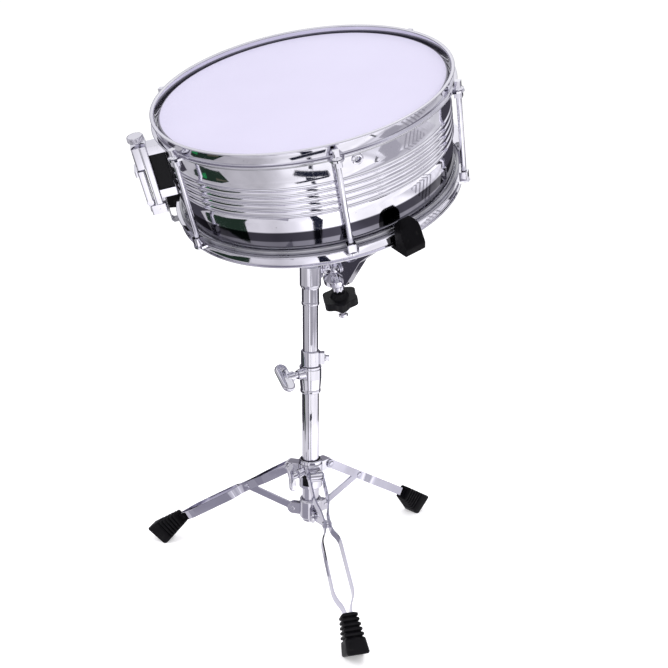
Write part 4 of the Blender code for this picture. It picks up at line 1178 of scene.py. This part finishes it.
def build_surroundings():
    """What the chrome reflects: a studio floor, a softly lit dome, dark boards and a tripod."""
    graph = Graph("floor_glow")
    run = graph.node("ShaderNodeVectorMath", {0: graph.place, 1: (0.966, -0.259, 0.0)},
                     operation="DOT_PRODUCT").outputs["Value"]
    level = graph.node("ShaderNodeMapRange", {"Value": run, "From Min": -3.0, "From Max": 3.0})
    tone = graph.ramp(level.outputs["Result"], (0.0, (0.62, 0.62, 0.64)), (0.37, (0.50, 0.49, 0.52)),
                      (0.50, (0.56, 0.55, 0.58)), (0.53, (0.70, 0.69, 0.73)),
                      (0.56, (1.10, 1.09, 1.13)), (0.68, (1.20, 1.19, 1.22)),
                      (0.70, (0.66, 0.65, 0.70)), (0.715, (0.95, 0.94, 1.0)),
                      (0.75, (0.90, 0.89, 0.95)), (0.79, (0.50, 0.49, 0.53)),
                      (1.0, (0.66, 0.65, 0.70)))
    reach = graph.node("ShaderNodeVectorMath", {0: graph.place}, operation="LENGTH").outputs["Value"]
    near = graph.spread(graph.math("MULTIPLY", reach, 0.5), 1.42, 1.0, 0.28, 0.32)
    cloud = graph.math("MULTIPLY", near, graph.spread(graph.noise(2.6, 5), 0.86, 1.16))
    ground = sheet("floor_glow", square(6.0), glow(graph, tone, cloud))
    ground.location = STAND.translation
    unseen(ground)

    graph = Graph("dome_glow")
    split = graph.node("ShaderNodeSeparateXYZ",
                       {"Vector": graph.node("ShaderNodeVectorMath", {0: graph.place},
                                             operation="NORMALIZE").outputs["Vector"]})
    tone = graph.ramp(split.outputs["Z"], (0.0, (0.72, 0.72, 0.75)), (0.14, (0.70, 0.69, 0.74)),
                      (0.24, (0.30, 0.29, 0.33)), (0.52, (0.24, 0.23, 0.27)),
                      (0.62, (0.95, 0.95, 1.0)), (0.88, (1.0, 1.0, 1.0)), (1.0, (0.8, 0.8, 0.84)))
    cloud = graph.spread(graph.noise(0.35, 4), 0.75, 1.25)
    shape = bmesh.new()
    bmesh.ops.create_uvsphere(shape, u_segments=64, v_segments=32, radius=7.0)
    dome = as_object(shape, "dome_glow")
    dome.data.materials.append(glow(graph, tone, cloud))
    dome.location = STAND.translation
    unseen(dome)

    ink = (0.016, 0.018, 0.034)
    floor_card("tripod_stem", [(300, 0.20), (297, 0.20), (294, 0.66), (304, 0.66)], ink)
    floor_card("tripod_head", [(283, 0.68), (315, 0.70), (312, 0.78), (285, 0.76)], ink, 0.003)
    floor_card("tripod_top", [(296.5, 0.78), (300, 0.78), (297, 2.4), (295, 2.4)], ink, 0.004)
    moss = (0.018, 0.034, 0.024)
    floor_card("left_shape", [(222, 0.46), (226, 0.62), (216, 0.92), (196, 1.20), (184, 1.25),
                              (180, 0.95), (202, 0.64)], moss)
    floor_card("left_leaf", [(190, 0.90), (196, 0.86), (198, 1.02), (191, 1.08)],
               (0.02, 0.22, 0.07), 0.004)
    floor_card("left_plank", [(206, 0.78), (216, 0.70), (219, 0.76), (208, 0.86)],
               (0.10, 0.095, 0.07), 0.004)
    floor_card("left_near", [(200, 0.05), (268, 0.05), (270, 0.40), (200, 0.40)],
               (0.38, 0.37, 0.43))
    floor_card("right_shape", [(352, 1.36), (2, 1.26), (11, 1.40), (14, 1.9), (4, 2.2), (356, 1.8)],
               (0.44, 0.43, 0.48))
    floor_card("right_line", [(350, 0.95), (351.5, 0.95), (353, 1.20), (351, 1.20)], ink, 0.004)
    for number in range(7):
        start = 16 + number * 4.2
        floor_card(f"right_streak_{number}", [(start, 1.5), (start + 1.6, 1.5),
                                              (start + 1.9, 3.6), (start + 0.4, 3.6)],
                   (0.36, 0.35, 0.39), 0.005)
    edge = (0.055, 0.052, 0.068)
    flag("tube_line", 263, 272, 0.12, 0.13, 0.38, (0.14, 0.13, 0.17))
    flag("tube_left", 176, 200, 0.12, 0.16, 0.38, (0.06, 0.055, 0.07))
    flag("tube_right", 34, 52, 0.12, 0.29, 0.38, (0.10, 0.095, 0.12))
    flag("tube_grey", 292, 326, 0.12, 0.30, 0.38, (0.42, 0.41, 0.45))
    flag("flag_right", 46, 90, 0.62, 0.004, 0.80, edge)
    flag("flag_left", 134, 182, 0.62, 0.004, 0.80, edge)


def area_light(name, place, target, size, power, colour=(1.0, 0.99, 1.0)):
    data = bpy.data.lights.new(name, "AREA")
    data.shape = "RECTANGLE"
    data.size, data.size_y = size
    data.energy = power
    data.color = colour
    lamp = bpy.data.objects.new(name, data)
    bpy.context.scene.collection.objects.link(lamp)
    lamp.location = place
    lamp.visible_glossy = False
    aim = Vector(target) - Vector(place)
    lamp.rotation_euler = aim.to_track_quat("-Z", "Y").to_euler()
    return lamp


def build_light():
    world = bpy.data.worlds.new("studio")
    bpy.context.scene.world = world
    world.use_nodes = True
    tree = world.node_tree
    back = tree.nodes["Background"]
    spot = tree.nodes.new("ShaderNodeTexCoord")
    split = tree.nodes.new("ShaderNodeSeparateXYZ")
    tree.links.new(spot.outputs["Generated"], split.inputs[0])
    ramp = tree.nodes.new("ShaderNodeValToRGB")
    tree.links.new(split.outputs["Z"], ramp.inputs["Fac"])
    elements = ramp.color_ramp.elements
    elements[0].position, elements[0].color = 0.0, (1.0, 1.0, 1.0, 1)
    elements[1].position, elements[1].color = 0.30, (1.0, 1.0, 1.0, 1)
    for position, value in ((0.36, 0.55), (0.62, 0.50), (0.70, 0.95), (0.85, 1.0), (1.0, 0.8)):
        made = elements.new(position)
        made.color = (value, value * 0.99, value * 1.02, 1)
    tree.links.new(ramp.outputs["Color"], back.inputs["Color"])
    back.inputs["Strength"].default_value = 1.05
    area_light("key", (-1.1, -1.3, 2.0), (0, 0, 0.35), (1.4, 1.0), 22)
    area_light("fill", (1.6, -0.6, 1.5), (0, 0, 0.4), (1.0, 1.4), 12)
    area_light("back", (0.4, 1.7, 1.9), (0, 0, 0.4), (2.0, 0.9), 18)


def build_camera():
    """Looking down from the front, a little to the right."""
    aim = turn(CAMERA_AZIMUTH - pi / 2, "Z") @ turn(pi / 2 - CAMERA_DIP, "X") @ turn(CAMERA_ROLL, "Z")
    data = bpy.data.cameras.new("view")
    data.sensor_width = 36.0
    data.lens = CAMERA_LENS
    data.clip_start = 0.01
    camera = bpy.data.objects.new("view", data)
    bpy.context.scene.collection.objects.link(camera)
    camera.matrix_world = STAND @ shift(*CAMERA_PLACE) @ aim
    bpy.context.scene.camera = camera


build_base()
build_leg_collar()
build_legs()
build_bolts()
build_mast()
build_tilter()
build_drum()
build_snares()
build_stage()
build_light()
build_camera()
bpy.context.scene.view_settings.view_transform = "Standard"
bpy.context.view_layer.update()
